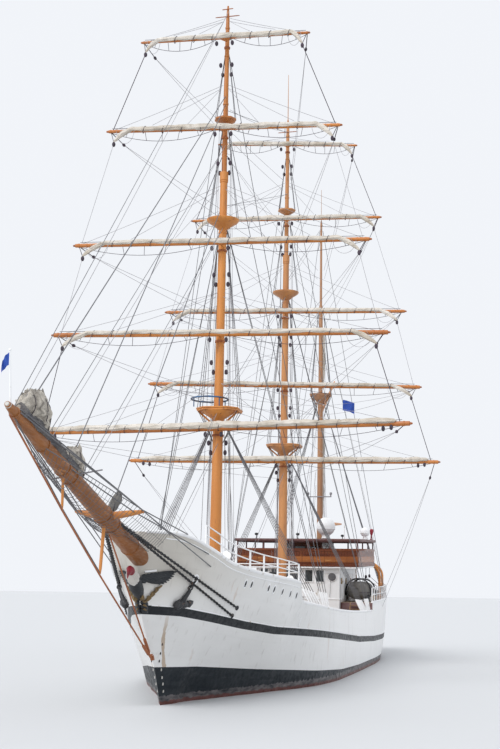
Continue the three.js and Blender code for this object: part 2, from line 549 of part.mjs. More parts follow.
for (const [name, mast] of Object.entries(masts)) {
  const staysOf = piece => mastStays.filter(([carrier]) => carrier === piece).map(([, height, foot]) =>
    stay(point(0, 0, local(height)), mast.group.worldToLocal(foot.clone())));
  const [, footRadius] = mast.lower[0];
  const [, headRadius] = mast.lower[mast.lower.length - 1];
  const lowerProfile = [[local(mast.deck(mast.x) + footLift), footRadius],
    ...mast.lower.slice(1).map(([height, radius]) => [local(height), radius]),
    [local(mast.top) - gap, headRadius]];
  const lowerMast = join(turned(lowerProfile, 16), ...staysOf(`${name}_lower_mast`));
  addPiece(mast.group, `${name}_lower_mast`, lowerMast, materials.sparOchre);
  const heelHeight = local(mast.top) + topThickness + 2 * gap;
  const topmast = turned([[heelHeight, mast.heel],
    ...mast.topmast.map(([height, radius]) => [local(height), radius])], 12);
  const treeSet = mast.crosstrees === undefined ? [] : [
    turned([[local(mast.crosstrees) - 0.55, 0.2], [local(mast.crosstrees) - 0.1, mast.crosstreesRadius * 0.9],
      [local(mast.crosstrees), mast.crosstreesRadius], [local(mast.crosstrees) + 0.06, 0.3]], 12)];
  addPiece(mast.group, `${name}_topmast`, join(topmast, ...treeSet, ...staysOf(`${name}_topmast`)),
    materials.sparOchre);
  if (mast.topgallant) {
    const pole = turned(mast.topgallant.map(([height, radius]) => [local(height), radius]), 10);
    const trees = turned([[local(mast.smallTrees) - 0.3, 0.12], [local(mast.smallTrees), 0.62],
      [local(mast.smallTrees) + 0.07, 0.62]], 8);
    addPiece(mast.group, `${name}_topgallant_mast`,
      join(pole, trees, ...staysOf(`${name}_topgallant_mast`)), materials.sparOchre);
  }
  const half = mast.topHalf;
  const platformBottom = local(mast.top);
  const platform = new THREE.Shape([[0.75, -0.6], [0.3, -1], [-0.8, -1], [-0.8, 1], [0.3, 1], [0.75, 0.6]]
    .map(([x, y]) => new THREE.Vector2(x * half * modelMillimetres, y * half * modelMillimetres)));
  const plate = new THREE.ExtrudeGeometry(platform, {
    depth: topThickness * modelMillimetres, bevelEnabled: false,
  })
    .translate(0, 0, platformBottom * modelMillimetres);
  const brackets = [-1, 1].map(side =>
    rod(point(0, side * (headRadius + 0.09), platformBottom - 0.55),
      point(0, side * half * 0.85, platformBottom + 0.05), [[0, 0.06], [1, 0.05]], 6));
  addPiece(mast.group, `${name}_top`, join(plate, ...brackets), materials.sparOchre);
}

// Yards and their furled sails. Brace is the angle to which each yard is set, with positive
// turning its port arm aft. The furled bundle is depth high and lies over the yard's fore side:
// its middle is ahead of the yard's axis and lift above it, and its clews hang down by the droop.
const yards = [
  { name: 'course', height: 13.6, half: { fore: 10.75, main: 10.5 }, radius: 0.15,
    depth: 0.32, ahead: 0.1, lift: 0.15, droop: 0, brace: { fore: -6, main: 5 } },
  { name: 'lower_topsail', height: 18.75, half: { fore: 9.27, main: 9.27 }, radius: 0.15,
    depth: 0.26, ahead: 0.1, lift: 0.1, droop: 0.66, brace: { fore: 4, main: 10 } },
  { name: 'upper_topsail', height: 23.85, half: { fore: 8.29, main: 8.29 }, radius: 0.13,
    depth: 0.26, ahead: 0.09, lift: 0.1, droop: 0.68, brace: { fore: 3, main: 6 } },
  { name: 'topgallant', height: 30.4, half: { fore: 6.63, main: 6.63 }, radius: 0.11,
    depth: 0.28, ahead: 0.08, lift: 0.08, droop: 0.72, brace: { fore: 4, main: 4 } },
  { name: 'royal', height: 35.75, half: { fore: 4.86, main: 4.86 }, radius: 0.09,
    depth: 0.26, ahead: 0.07, lift: 0.07, droop: 0.72, brace: { fore: 1, main: 10 } },
];
const yardAhead = 0.75;         // from the mast's axis to the yard's
const yardProfile = [[0, 0.5], [0.06, 0.6], [0.3, 0.95], [0.7, 0.95], [0.94, 0.6], [1, 0.5]];
const trussStart = 0.34;

// Rows are shares: of the half yard, of the bundle's size, of the way to the hanging clew.
const bundleRows = [[0, 1, 0], [0.3, 0.97, 0], [0.6, 0.92, 0], [0.78, 0.85, 0], [0.85, 0.8, 0.4], [0.92, 0.45, 1]];
const clewAhead = 0.34;

function furledSail({ depth, ahead, lift, droop }, half) {
  const port = bundleRows.map(([share, size, drop]) => [share * half, size, droop > 0 ? drop : 0]);
  const starboard = port.slice(1).reverse().map(([y, size, drop]) => [-y, size, drop]);
  return loft([...starboard, ...port].map(([y, size, drop]) => {
    const x = yardAhead + THREE.MathUtils.lerp(ahead, clewAhead, Math.min(1, drop * 2));
    const z = THREE.MathUtils.lerp(lift, -droop, drop);
    const halfDepth = depth / 2 * size;
    return Array.from({ length: 8 }, (_, i) => {
      const angle = i / 8 * 2 * Math.PI;
      return point(x + halfDepth * Math.sin(angle), y, z + halfDepth * Math.cos(angle));
    });
  }));
}

for (const mastName of ['fore', 'main']) {
  const mast = masts[mastName];
  for (const yard of yards) {
    const braced = new THREE.Group();
    braced.position.z = (yard.height - rakeDatum) * modelMillimetres;
    braced.rotation.z = yard.brace[mastName] * degrees;
    mast.group.add(braced);
    const half = yard.half[mastName];
    const spar = spread => rod(point(yardAhead, -half, 0), point(yardAhead, half, 0),
      yardProfile.map(([share, size]) => [share, yard.radius * size + spread]), 10);
    const truss = bar(point(trussStart, 0, 0), point(yardAhead, 0, 0), 0.07, 6);
    const sail = cut(furledSail(yard, half), spar(gap));
    addPiece(braced, `${mastName}_${yard.name}_yard`, join(spar(0), truss), materials.sparOchre);
    addPiece(braced, `${mastName}_${yard.name}_sail`, sail, materials.canvas);
  }
}

// Spanker boom and gaff swing about the mizzen mast; its furled sails are tied up behind it.
const mizzen = masts.mizzen;
const jawGap = 0.32;
addPiece(ship, 'spanker_boom', rod(point(mizzen.x - jawGap, 0, 10.2), point(-29.6, 0, 10.7),
  [[0, 0.1], [0.3, 0.15], [0.7, 0.13], [1, 0.07]], 10), materials.sparOchre);
addPiece(ship, 'spanker_gaff', rod(point(mizzen.x - jawGap, 0, 19.0), point(-25.2, 0, 22.6),
  [[0, 0.08], [0.4, 0.12], [1, 0.05]], 8), materials.sparOchre);

// Furled head sails are bundled on the bowsprit at the feet of their stays. Rows of a bundle are
// [x, half-width, height of its foot above the bowsprit, its own height].
const headSails = [
  { name: 'furled_outer_jib', stayHead: [32.5, 0.15], stayFoot: 46.2, rows: [
    [44.4, 0.2, 0.03, 0.35], [44.9, 0.36, 0.02, 0.75], [45.4, 0.42, 0.02, 1.05],
    [45.9, 0.4, 0.05, 0.85], [46.4, 0.2, 0.1, 0.3], [46.6, 0.08, 0.12, 0.12]] },
  { name: 'furled_inner_jib', stayHead: [32.0, 0.15], stayFoot: 41.5, rows: [
    [40.3, 0.1, 0.06, 0.25], [40.6, 0.24, 0.02, 0.6], [41.0, 0.28, 0.02, 0.9],
    [41.4, 0.26, 0.02, 0.7], [41.8, 0.1, 0.05, 0.25]] },
  { name: 'furled_staysail', stayHead: [25.5, 0.92], stayFoot: 36.4, rows: [
    [34.9, 0.05, 1.1, 0.2], [35.2, 0.11, 0.75, 0.5], [35.7, 0.14, 0.3, 0.65],
    [36.2, 0.13, 0.02, 0.5], [36.5, 0.06, 0.05, 0.2]] },
];
for (const { name, stayHead: [height, mastRadius], stayFoot, rows } of headSails) {
  const bundle = blob(rows.map(([x, halfWide, rise, high]) => {
    const foot = onBowspritTop(x).z / modelMillimetres;
    return [x, 0, foot + rise + high / 2, halfWide, high / 2];
  }));
  const headStay = stay(onMast('fore', height, mastRadius + footGap), onBowspritTop(stayFoot));
  addPiece(ship, name, join(bundle, headStay), materials.canvas);
}

export default ship;
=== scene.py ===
import json
import math
import random
from functools import partial
import bpy
from mathutils import Matrix, Vector, noise

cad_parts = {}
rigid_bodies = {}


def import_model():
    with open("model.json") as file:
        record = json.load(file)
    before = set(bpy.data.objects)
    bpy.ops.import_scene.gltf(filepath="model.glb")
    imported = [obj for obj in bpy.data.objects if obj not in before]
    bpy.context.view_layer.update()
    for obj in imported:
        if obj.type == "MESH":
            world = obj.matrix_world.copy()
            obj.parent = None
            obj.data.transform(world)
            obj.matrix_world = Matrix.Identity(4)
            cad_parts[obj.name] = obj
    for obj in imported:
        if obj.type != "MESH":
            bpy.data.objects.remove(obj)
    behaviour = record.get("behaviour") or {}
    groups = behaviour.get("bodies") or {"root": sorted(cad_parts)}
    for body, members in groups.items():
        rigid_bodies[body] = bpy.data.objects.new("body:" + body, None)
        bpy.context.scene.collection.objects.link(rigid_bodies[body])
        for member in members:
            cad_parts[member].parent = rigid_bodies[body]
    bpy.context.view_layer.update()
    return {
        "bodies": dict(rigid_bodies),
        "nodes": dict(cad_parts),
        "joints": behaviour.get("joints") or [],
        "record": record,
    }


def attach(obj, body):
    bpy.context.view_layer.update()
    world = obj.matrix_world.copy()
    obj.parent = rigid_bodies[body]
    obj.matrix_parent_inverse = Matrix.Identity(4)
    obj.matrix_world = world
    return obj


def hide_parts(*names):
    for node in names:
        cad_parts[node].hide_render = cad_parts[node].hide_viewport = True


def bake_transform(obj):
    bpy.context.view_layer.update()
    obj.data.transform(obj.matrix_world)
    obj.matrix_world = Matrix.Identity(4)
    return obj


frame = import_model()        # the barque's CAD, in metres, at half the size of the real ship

modelScale = 0.5         # every size below is in metres of the real ship
axisX, axisY, axisZ = Vector((1, 0, 0)), Vector((0, 1, 0)), Vector((0, 0, 1))


def at(x, y, z):
    return Vector((x, y, z)) * modelScale


def rise(height):
    return Vector((0, 0, height))


def mix(low, high, share):
    return low + (high - low) * share


def fromTable(rows, mark, column=1):      # a value between the rows of a table
    if mark <= rows[0][0]:
        return rows[0][column]
    for low, high in zip(rows, rows[1:]):
        if mark <= high[0]:
            return mix(low[column], high[column], (mark - low[0]) / (high[0] - low[0]))
    return rows[-1][column]


def deselect():
    bpy.ops.object.select_all(action="DESELECT")


deselect()

# Camera and light

camera = {"place": (88.91, 16.78, 5.45), "yaw": -11.95, "pitch": 8.72, "roll": 0.82, "lens": 65.61}
light = {"sky": (0.93, 0.955, 1.0), "skyStrength": 0.95, "sunTurn": (48, 0, 62), "sunStrength": 1.9,
         "sunAngle": 35, "floor": 600}


def addCamera():
    yaw, pitch, roll = (math.radians(camera[key]) for key in ("yaw", "pitch", "roll"))
    forward = Vector((-math.cos(yaw) * math.cos(pitch), math.sin(yaw) * math.cos(pitch), math.sin(pitch)))
    right = forward.cross(axisZ).normalized()
    up = right.cross(forward)
    tiltedRight = right * math.cos(roll) + up * math.sin(roll)
    tiltedUp = up * math.cos(roll) - right * math.sin(roll)
    bpy.ops.object.camera_add()
    viewer = bpy.context.object
    turn = Matrix((tiltedRight, tiltedUp, -forward)).transposed().to_4x4()
    viewer.matrix_world = Matrix.Translation(at(*camera["place"])) @ turn
    viewer.data.lens = camera["lens"]
    viewer.data.sensor_width = 36
    viewer.data.clip_end = 2000
    bpy.context.scene.camera = viewer
    deselect()


def addLight():
    world = bpy.data.worlds.new("softSky")
    world.use_nodes = True
    world.node_tree.nodes["Background"].inputs["Color"].default_value = (*light["sky"], 1)
    world.node_tree.nodes["Background"].inputs["Strength"].default_value = light["skyStrength"]
    bpy.context.scene.world = world
    bpy.ops.object.light_add(type="SUN", rotation=[math.radians(turn) for turn in light["sunTurn"]])
    sun = bpy.context.object
    sun.data.energy = light["sunStrength"]
    sun.data.angle = math.radians(light["sunAngle"])
    deselect()


# Materials

def startMaterial(name, roughness=0.6, metallic=0.0):
    made = bpy.data.materials.new(name)
    made.use_nodes = True
    shader = made.node_tree.nodes["Principled BSDF"]
    shader.inputs["Roughness"].default_value = roughness
    shader.inputs["Metallic"].default_value = metallic
    return made, made.node_tree, shader


def objectPlace(tree, stretch=(1, 1, 1)):
    place = tree.nodes.new("ShaderNodeTexCoord")
    mapping = tree.nodes.new("ShaderNodeMapping")
    mapping.inputs["Scale"].default_value = stretch
    tree.links.new(place.outputs["Object"], mapping.inputs["Vector"])
    return mapping.outputs["Vector"]


def rampOf(tree, value, low, high):
    spread = tree.nodes.new("ShaderNodeMapRange")
    spread.inputs["From Min"].default_value = low
    spread.inputs["From Max"].default_value = high
    tree.links.new(value, spread.inputs["Value"])
    return spread.outputs["Result"]


def noiseOf(tree, place, scale, detail=4, low=0.35, high=0.65):
    cloud = tree.nodes.new("ShaderNodeTexNoise")
    cloud.inputs["Scale"].default_value = scale
    cloud.inputs["Detail"].default_value = detail
    tree.links.new(place, cloud.inputs["Vector"])
    return rampOf(tree, cloud.outputs["Fac"], low, high)


def blendColour(tree, share, first, second):
    blend = tree.nodes.new("ShaderNodeMix")
    blend.data_type = "RGBA"
    tree.links.new(share, blend.inputs["Factor"])
    for colour, socket in ((first, blend.inputs["A"]), (second, blend.inputs["B"])):
        if isinstance(colour, tuple):
            socket.default_value = (*colour, 1)
        else:
            tree.links.new(colour, socket)
    return blend.outputs["Result"]


def sums(tree, how, first, second):
    node = tree.nodes.new("ShaderNodeMath")
    node.operation = how
    for value, socket in ((first, node.inputs[0]), (second, node.inputs[1])):
        if isinstance(value, (int, float)):
            socket.default_value = value
        else:
            tree.links.new(value, socket)
    return node.outputs["Value"]


def addBump(tree, shader, height, distance):
    bump = tree.nodes.new("ShaderNodeBump")
    bump.inputs["Distance"].default_value = distance
    tree.links.new(height, bump.inputs["Height"])
    if shader.inputs["Normal"].links:
        tree.links.new(shader.inputs["Normal"].links[0].from_socket, bump.inputs["Normal"])
    tree.links.new(bump.outputs["Normal"], shader.inputs["Normal"])


def roughBetween(tree, shader, value, low, high):
    rough = tree.nodes.new("ShaderNodeMapRange")
    rough.inputs["To Min"].default_value = low
    rough.inputs["To Max"].default_value = high
    tree.links.new(value, rough.inputs["Value"])
    tree.links.new(rough.outputs["Result"], shader.inputs["Roughness"])


def weathered(name, look):
    roughness = look.get("roughness", 0.5)
    made, tree, shader = startMaterial(name, roughness, look.get("metallic", 0.0))
    place = objectPlace(tree, look.get("stretch", (1, 1, 1)))
    broad = noiseOf(tree, place, look["broad"], 5, 0.3, 0.7)
    fine = noiseOf(tree, place, look["fine"], 6)
    colour = blendColour(tree, broad, look["colour"], look["shade"])
    spots = noiseOf(tree, place, look["fine"] * 0.4, 8, 0.62, 0.7)
    colour = blendColour(tree, spots, colour, look.get("worn", look["shade"]))
    tree.links.new(colour, shader.inputs["Base Color"])
    roughBetween(tree, shader, fine, roughness - 0.12, roughness + 0.15)
    shader.inputs["Coat Weight"].default_value = look.get("coat", 0.0)
    shader.inputs["Specular IOR Level"].default_value = look.get("gloss", 0.5)
    addBump(tree, shader, fine, look.get("bump", 0.002))
    return made


sparGrain = {"broad": 1.4, "fine": 12, "stretch": (2.2, 2.2, 0.22), "roughness": 0.45, "bump": 0.0015}
looks = {
    "sparPaint": {"colour": (0.66, 0.265, 0.055), "shade": (0.47, 0.17, 0.04), "worn": (0.31, 0.12, 0.045),
                  **sparGrain},
    "mainPaint": {"colour": (0.56, 0.25, 0.085), "shade": (0.4, 0.17, 0.065), "worn": (0.28, 0.13, 0.06),
                  **sparGrain},
    "mizzenPaint": {"colour": (0.42, 0.21, 0.1), "shade": (0.3, 0.15, 0.08), "worn": (0.22, 0.12, 0.07),
                    **sparGrain, "roughness": 0.5},
    "polePaint": {"colour": (0.5, 0.18, 0.035), "shade": (0.36, 0.12, 0.028), "worn": (0.25, 0.09, 0.035),
                  **sparGrain},
    "yardPaint": {"colour": (0.60, 0.22, 0.045), "shade": (0.40, 0.13, 0.03), "worn": (0.27, 0.1, 0.04),
                  **sparGrain, "stretch": (2.2, 0.22, 2.2)},
    "bowspritPaint": {"colour": (0.33, 0.115, 0.02), "shade": (0.2, 0.066, 0.013), "worn": (0.45, 0.18, 0.05),
                      "broad": 1.6, "fine": 11, "stretch": (0.25, 2.2, 2.2), "roughness": 0.5,
                      "bump": 0.0015},
    "houseWhite": {"colour": (0.93, 0.935, 0.945), "shade": (0.83, 0.835, 0.84), "worn": (0.58, 0.53, 0.46),
                   "broad": 0.7, "fine": 10, "roughness": 0.45, "bump": 0.001},
    "roofBrown": {"colour": (0.15, 0.064, 0.06), "shade": (0.085, 0.038, 0.036), "broad": 1.0, "fine": 12,
                  "roughness": 0.5},
    "varnish": {"colour": (0.2, 0.055, 0.02), "shade": (0.1, 0.026, 0.012), "worn": (0.34, 0.12, 0.035),
                "broad": 2.4, "fine": 22, "stretch": (0.25, 0.25, 3.0), "roughness": 0.34, "coat": 0.08,
                "gloss": 0.25},
    "blackIron": {"colour": (0.018, 0.02, 0.024), "shade": (0.035, 0.035, 0.038), "worn": (0.12, 0.07, 0.045),
                  "broad": 3, "fine": 30, "roughness": 0.5},
    "wireGrey": {"colour": (0.11, 0.11, 0.12), "shade": (0.17, 0.17, 0.18), "broad": 3, "fine": 40,
                 "roughness": 0.6},
    "ropePale": {"colour": (0.36, 0.35, 0.36), "shade": (0.24, 0.23, 0.25), "broad": 3, "fine": 60,
                 "roughness": 0.85},
    "ropeDark": {"colour": (0.035, 0.03, 0.04), "shade": (0.07, 0.05, 0.07), "broad": 3, "fine": 60,
                 "roughness": 0.85},
    "bronze": {"colour": (0.4, 0.23, 0.09), "shade": (0.2, 0.16, 0.09), "broad": 5, "fine": 30,
               "roughness": 0.4, "metallic": 0.9},
    "netGrey": {"colour": (0.1, 0.1, 0.115), "shade": (0.19, 0.18, 0.17), "worn": (0.3, 0.28, 0.26),
                "broad": 3, "fine": 30, "roughness": 0.9, "bump": 0.006},
    "bottomRed": {"colour": (0.16, 0.035, 0.025), "shade": (0.1, 0.03, 0.025), "worn": (0.22, 0.16, 0.13),
                  "broad": 1.5, "fine": 16, "roughness": 0.75},
    "stayOrange": {"colour": (0.42, 0.13, 0.035), "shade": (0.23, 0.07, 0.025), "broad": 2, "fine": 20,
                   "roughness": 0.55},
    "coverGrey": {"colour": (0.24, 0.225, 0.205), "shade": (0.12, 0.115, 0.105), "broad": 1.8, "fine": 26,
                  "roughness": 0.9, "bump": 0.004},
    "teak": {"colour": (0.3, 0.18, 0.09), "shade": (0.2, 0.115, 0.06), "broad": 3, "fine": 30,
             "stretch": (0.3, 2, 2), "roughness": 0.7},
    "flagBlue": {"colour": (0.03, 0.09, 0.42), "shade": (0.02, 0.06, 0.32), "broad": 4, "fine": 80,
                 "roughness": 0.8},
    "hoopBlue": {"colour": (0.03, 0.13, 0.3), "shade": (0.08, 0.06, 0.05), "broad": 5, "fine": 30,
                 "roughness": 0.5},
    "lifeRing": {"colour": (0.75, 0.1, 0.03), "shade": (0.6, 0.08, 0.03), "broad": 4, "fine": 30,
                 "roughness": 0.5},
    "birdBlack": {"colour": (0.006, 0.009, 0.012), "shade": (0.014, 0.017, 0.022), "broad": 6, "fine": 26,
                  "stretch": (1, 1, 3), "roughness": 0.45},
    "clawGold": {"colour": (0.22, 0.14, 0.045), "shade": (0.1, 0.065, 0.025), "broad": 6, "fine": 26,
                 "roughness": 0.5},
    "birdRed": {"colour": (0.32, 0.012, 0.03), "shade": (0.13, 0.008, 0.015), "broad": 6, "fine": 26,
                "roughness": 0.5},
    "paleTip": {"colour": (0.62, 0.6, 0.56), "shade": (0.5, 0.48, 0.44), "broad": 4, "fine": 30,
                "roughness": 0.6},
}
materials = {name: weathered(name, look) for name, look in looks.items()}

canvasLook = {"colour": (0.72, 0.67, 0.60), "shade": (0.48, 0.42, 0.34), "darkPatch": (0.3, 0.255, 0.2),
              "weave": 900, "broad": 1.6, "along": (1, 1, 1)}
# in the stowed canvas the near-black shade and dark patches are partly dirt and partly painted shade deep in
# the folds of the bundles
stowedLook = {"colour": (0.6, 0.55, 0.47), "shade": (0.16, 0.135, 0.11), "darkPatch": (0.04, 0.045, 0.045),
              "weave": 900, "broad": 2.6, "along": (2.6, 2.6, 0.9)}


def canvasMaterial(name, look):
    made, tree, shader = startMaterial(name, 0.92)
    place = objectPlace(tree, look["along"])
    broad = noiseOf(tree, place, look["broad"], 5, 0.35, 0.68)
    darkPatches = noiseOf(tree, objectPlace(tree, (1, 1, 0.5)), look["broad"] * 3.2, 6, 0.55, 0.8)
    colour = blendColour(tree, broad, look["colour"], look["shade"])
    # on the stowed canvas these dark patches are partly painted shade in the folds
    colour = blendColour(tree, sums(tree, "MULTIPLY", darkPatches, 0.6), colour, look["darkPatch"])
    tree.links.new(colour, shader.inputs["Base Color"])
    shader.inputs["Sheen Weight"].default_value = 0.15
    crease = noiseOf(tree, objectPlace(tree, (6, 1.3, 6)), 2.2, 6)
    addBump(tree, shader, crease, 0.02)
    for turn in ((look["weave"], 0, 0), (0, look["weave"], look["weave"])):
        wave = tree.nodes.new("ShaderNodeTexWave")
        wave.inputs["Scale"].default_value = 1.0
        tree.links.new(objectPlace(tree, turn), wave.inputs["Vector"])
        addBump(tree, shader, wave.outputs["Fac"], 0.0004)
    return made


materials["canvas"] = canvasMaterial("canvas", canvasLook)
materials["stowedCanvas"] = canvasMaterial("stowedCanvas", stowedLook)

plankLook = {"colour": (0.42, 0.31, 0.2), "shade": (0.3, 0.22, 0.15), "seam": (0.03, 0.025, 0.02),
             "plank": 0.065}


def plankMaterial(name, look):      # fore and aft planks, told apart by their place across the deck
    made, tree, shader = startMaterial(name, 0.75)
    place = objectPlace(tree)
    split = tree.nodes.new("ShaderNodeSeparateXYZ")
    tree.links.new(place, split.inputs["Vector"])
    across = sums(tree, "DIVIDE", sums(tree, "ADD", split.outputs["Y"], 50), look["plank"])
    seam = sums(tree, "LESS_THAN", sums(tree, "FRACT", across, 0), 0.09)
    shadeNode = tree.nodes.new("ShaderNodeTexWhiteNoise")
    shadeNode.noise_dimensions = "1D"
    tree.links.new(sums(tree, "FLOOR", across, 0), shadeNode.inputs["W"])
    colour = blendColour(tree, shadeNode.outputs["Value"], look["colour"], look["shade"])
    grain = noiseOf(tree, objectPlace(tree, (1, 12, 12)), 6, 6, 0.3, 0.8)
    colour = blendColour(tree, sums(tree, "MULTIPLY", grain, 0.35), colour, look["shade"])
    colour = blendColour(tree, seam, colour, look["seam"])
    tree.links.new(colour, shader.inputs["Base Color"])
    addBump(tree, shader, sums(tree, "SUBTRACT", grain, seam), 0.002)
    return made


materials["deckPlanks"] = plankMaterial("deckPlanks", plankLook)

# Shapes

def named(name):
    made = bpy.context.object
    made.name = made.data.name = name
    return made


def onlySelect(*pieces):
    deselect()
    for piece in pieces:
        piece.select_set(True)
    bpy.context.view_layer.objects.active = pieces[0]


def join(name, pieces):
    onlySelect(*pieces)
    if len(pieces) > 1:
        bpy.ops.object.join()
    made = named(name)
    deselect()
    return made


def smooth(piece, angle=40):
    onlySelect(piece)
    bpy.ops.object.shade_smooth_by_angle(angle=math.radians(angle))
    deselect()


def applyModifiers(piece):
    onlySelect(piece)
    for modifier in list(piece.modifiers):
        bpy.ops.object.modifier_apply(modifier=modifier.name)
    deselect()


def facesOut(piece):
    onlySelect(piece)
    bpy.ops.object.mode_set(mode="EDIT")
    bpy.ops.mesh.select_all(action="SELECT")
    bpy.ops.mesh.remove_doubles(threshold=0.0002)
    bpy.ops.mesh.normals_make_consistent(inside=False)
    bpy.ops.object.mode_set(mode="OBJECT")
    deselect()


usualSlots = {
    "house_white": ("houseWhite", "paleTip"), "teak": ("teak", "deckPlanks"), "bronze": ("bronze", "brass"),
    "black_iron": ("blackIron", "wireGrey", "ropeDark", "glassDark", "birdBlack", "hoopBlue"),
    "canvas": ("ropePale", "canvas", "stowedCanvas", "flagBlue"), "varnish": ("varnish", "bandOrange"),
    "spar_ochre": ("sparPaint", "mainPaint", "mizzenPaint", "polePaint", "yardPaint", "bowspritPaint"),
    "stay_orange": ("stayOrange", "lifeRing", "clawGold"), "grey_cover": ("coverGrey", "rubberGrey"),
    "roof_brown": ("roofBrown",), "bottom_red": ("bottomRed",),
}
slotOf = {material: slot for slot, group in usualSlots.items() for material in group}


def fit(piece, material, body="ship", slot=None, replaces=()):      # finish and body of a piece
    slot = slot or slotOf[material]
    if material is not None:
        piece.data.materials.clear()
        piece.data.materials.append(materials[material])
    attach(piece, body)
    if replaces:
        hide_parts(*replaces)
    return piece


def easeEdges(offset, segments=2):      # on every edge of the active piece
    bpy.ops.object.mode_set(mode="EDIT")
    bpy.ops.mesh.select_all(action="SELECT")
    bpy.ops.mesh.bevel(offset=offset * modelScale, segments=segments, affect="EDGES")
    bpy.ops.object.mode_set(mode="OBJECT")


def copied(pattern, place):      # one more of a pattern piece, turned and moved to its place
    again = pattern.copy()
    again.data = pattern.data.copy()
    again.data.transform(place)
    bpy.context.scene.collection.objects.link(again)
    return again


def facing(centre, axis):      # turns a piece's top to the axis and moves it to the centre
    return Matrix.Translation(centre) @ axis.to_track_quat("Z", "Y").to_matrix().to_4x4()


def spar(name, start, end, rows, sides=20):      # rows are share of the length and radius
    along = end - start
    bpy.ops.mesh.primitive_circle_add(vertices=sides, radius=rows[0][1] * modelScale, fill_type="NGON")
    made = named(name)
    bpy.ops.object.mode_set(mode="EDIT")
    for (before, last), (share, radius) in zip(rows, rows[1:]):
        step = (share - before) * along.length
        bpy.ops.mesh.extrude_region_move(TRANSFORM_OT_translate={"value": (0, 0, step)})
        bpy.ops.transform.resize(value=(radius / last, radius / last, 1))
    bpy.ops.mesh.select_all(action="SELECT")
    bpy.ops.mesh.normals_make_consistent(inside=False)
    bpy.ops.object.mode_set(mode="OBJECT")
    turn = axisZ.rotation_difference(along).to_matrix().to_4x4()
    made.data.transform(Matrix.Translation(start + along * rows[0][0]) @ turn)
    smooth(made)
    return made


def ropes(name, lines, radius, bevel=1):      # tubes along lines of points
    curve = bpy.data.curves.new(name, "CURVE")
    curve.dimensions = "3D"
    curve.bevel_depth = radius * modelScale
    curve.bevel_resolution = bevel
    curve.use_fill_caps = True
    for line in lines:
        spline = curve.splines.new("POLY")
        spline.points.add(len(line) - 1)
        for spot, place in zip(spline.points, line):
            spot.co = (*place, 1)
    made = bpy.data.objects.new(name, curve)
    bpy.context.scene.collection.objects.link(made)
    onlySelect(made)
    bpy.ops.object.convert(target="MESH")
    made = named(name)
    bpy.ops.object.shade_smooth()
    deselect()
    return made


def gridOver(name, rows, wrap=False):      # a grid primitive laid over rows of places
    bpy.ops.mesh.primitive_grid_add(x_subdivisions=len(rows[0]) - 1, y_subdivisions=len(rows) - 1, size=1)
    made = named(name)
    for vertex, spot in zip(made.data.vertices, (spot for row in rows for spot in row)):
        vertex.co = spot
    if wrap:
        facesOut(made)
    deselect()
    return made


def closeEnds(rings):      # each end ring is drawn in to its middle
    for end in (0, -1):
        ring = rings[end]
        middle = sum(ring[:-1], Vector()) / (len(ring) - 1)
        rings.insert(len(rings) if end else 0, [middle.copy() for _ in ring])


def loafOf(name, rows, sides=16):      # a closed body from rows of x, y, z, half width and half height
    rings = []
    for x, y, z, wide, high in rows:
        angles = [index / sides * 2 * math.pi for index in range(sides + 1)]
        rings.append([at(x, y + wide * math.cos(angle), z + high * math.sin(angle)) for angle in angles])
    closeEnds(rings)
    return gridOver(name, rings, wrap=True)


def torus(name, radius, thick, segments=24, around=8):
    bpy.ops.mesh.primitive_torus_add(major_radius=radius * modelScale, minor_radius=thick * modelScale,
                                     major_segments=segments, minor_segments=around)
    made = named(name)
    bpy.ops.object.shade_smooth()
    deselect()
    return made


def ringRound(name, centre, axis, radius, thick, segments=24):
    made = torus(name, radius, thick, segments)
    made.data.transform(facing(centre, axis))
    return made


def block(name, lowest, highest, bevel=0.02):      # a box with eased edges, from two corners
    size = highest - lowest
    bpy.ops.mesh.primitive_cube_add(size=1, location=(lowest + highest) / 2)
    made = named(name)
    made.scale = size
    bpy.ops.object.transform_apply(location=True, rotation=True, scale=True)
    if bevel:
        easeEdges(bevel)
    deselect()
    return made


def sagging(start, end, sag=0.0, count=8):
    points = []
    for index in range(count + 1):
        share = index / count
        drop = 4 * sag * modelScale * share * (1 - share)
        points.append(start.lerp(end, share) - rise(drop))
    return points


# Masts and yards: the same measures as the CAD

rakeDatum = 4.5
masts = {
    "fore": {"paint": ("sparPaint", "sparPaint", "polePaint"), "x": 18.0, "rake": 1.58, "foot": 3.4,
             "top": 14.62, "topHalf": 1.12, "crosstrees": 25.3,
             "trees": 31.15, "doubling": 28.1,
             "lower": [(3.4, 0.31), (7.5, 0.31), (13.9, 0.27), (14.6, 0.25)],
             "upper": [(14.6, 0.25), (19, 0.23), (25.2, 0.21), (27.6, 0.2), (27.62, 0.235), (28.1, 0.235)],
             "pole": [(28.1, 0.15), (31, 0.14), (35.8, 0.12), (37.2, 0.1), (38, 0.05)]},
    "main": {"paint": ("mainPaint", "mainPaint", "mainPaint"), "x": -1.58, "rake": 0.89, "foot": 2.6,
             "top": 14.64, "topHalf": 1.12, "crosstrees": 25.35,
             "trees": 31.2, "doubling": 28.0,
             "lower": [(2.6, 0.31), (7.5, 0.3), (13.9, 0.27), (14.6, 0.25)],
             "upper": [(14.6, 0.25), (19, 0.23), (25.2, 0.21), (27.5, 0.2), (27.52, 0.235), (28.0, 0.235)],
             "pole": [(28.0, 0.15), (31, 0.14), (35.8, 0.12), (37.6, 0.1), (37.9, 0.03), (41.2, 0.015)]},
    "mizzen": {"paint": ("mizzenPaint", "mizzenPaint"), "x": -17.71, "rake": -0.5, "foot": 4.4, "top": 20.3,
               "topHalf": 0.8, "doubling": 27.5,
               "lower": [(4.4, 0.24), (10, 0.23), (19.5, 0.2), (20.3, 0.19)],
               "upper": [(20.3, 0.17), (27.5, 0.15), (27.7, 0.1), (34.4, 0.08), (34.7, 0.02), (37.2, 0.015)]},
}
yardAhead = 0.75
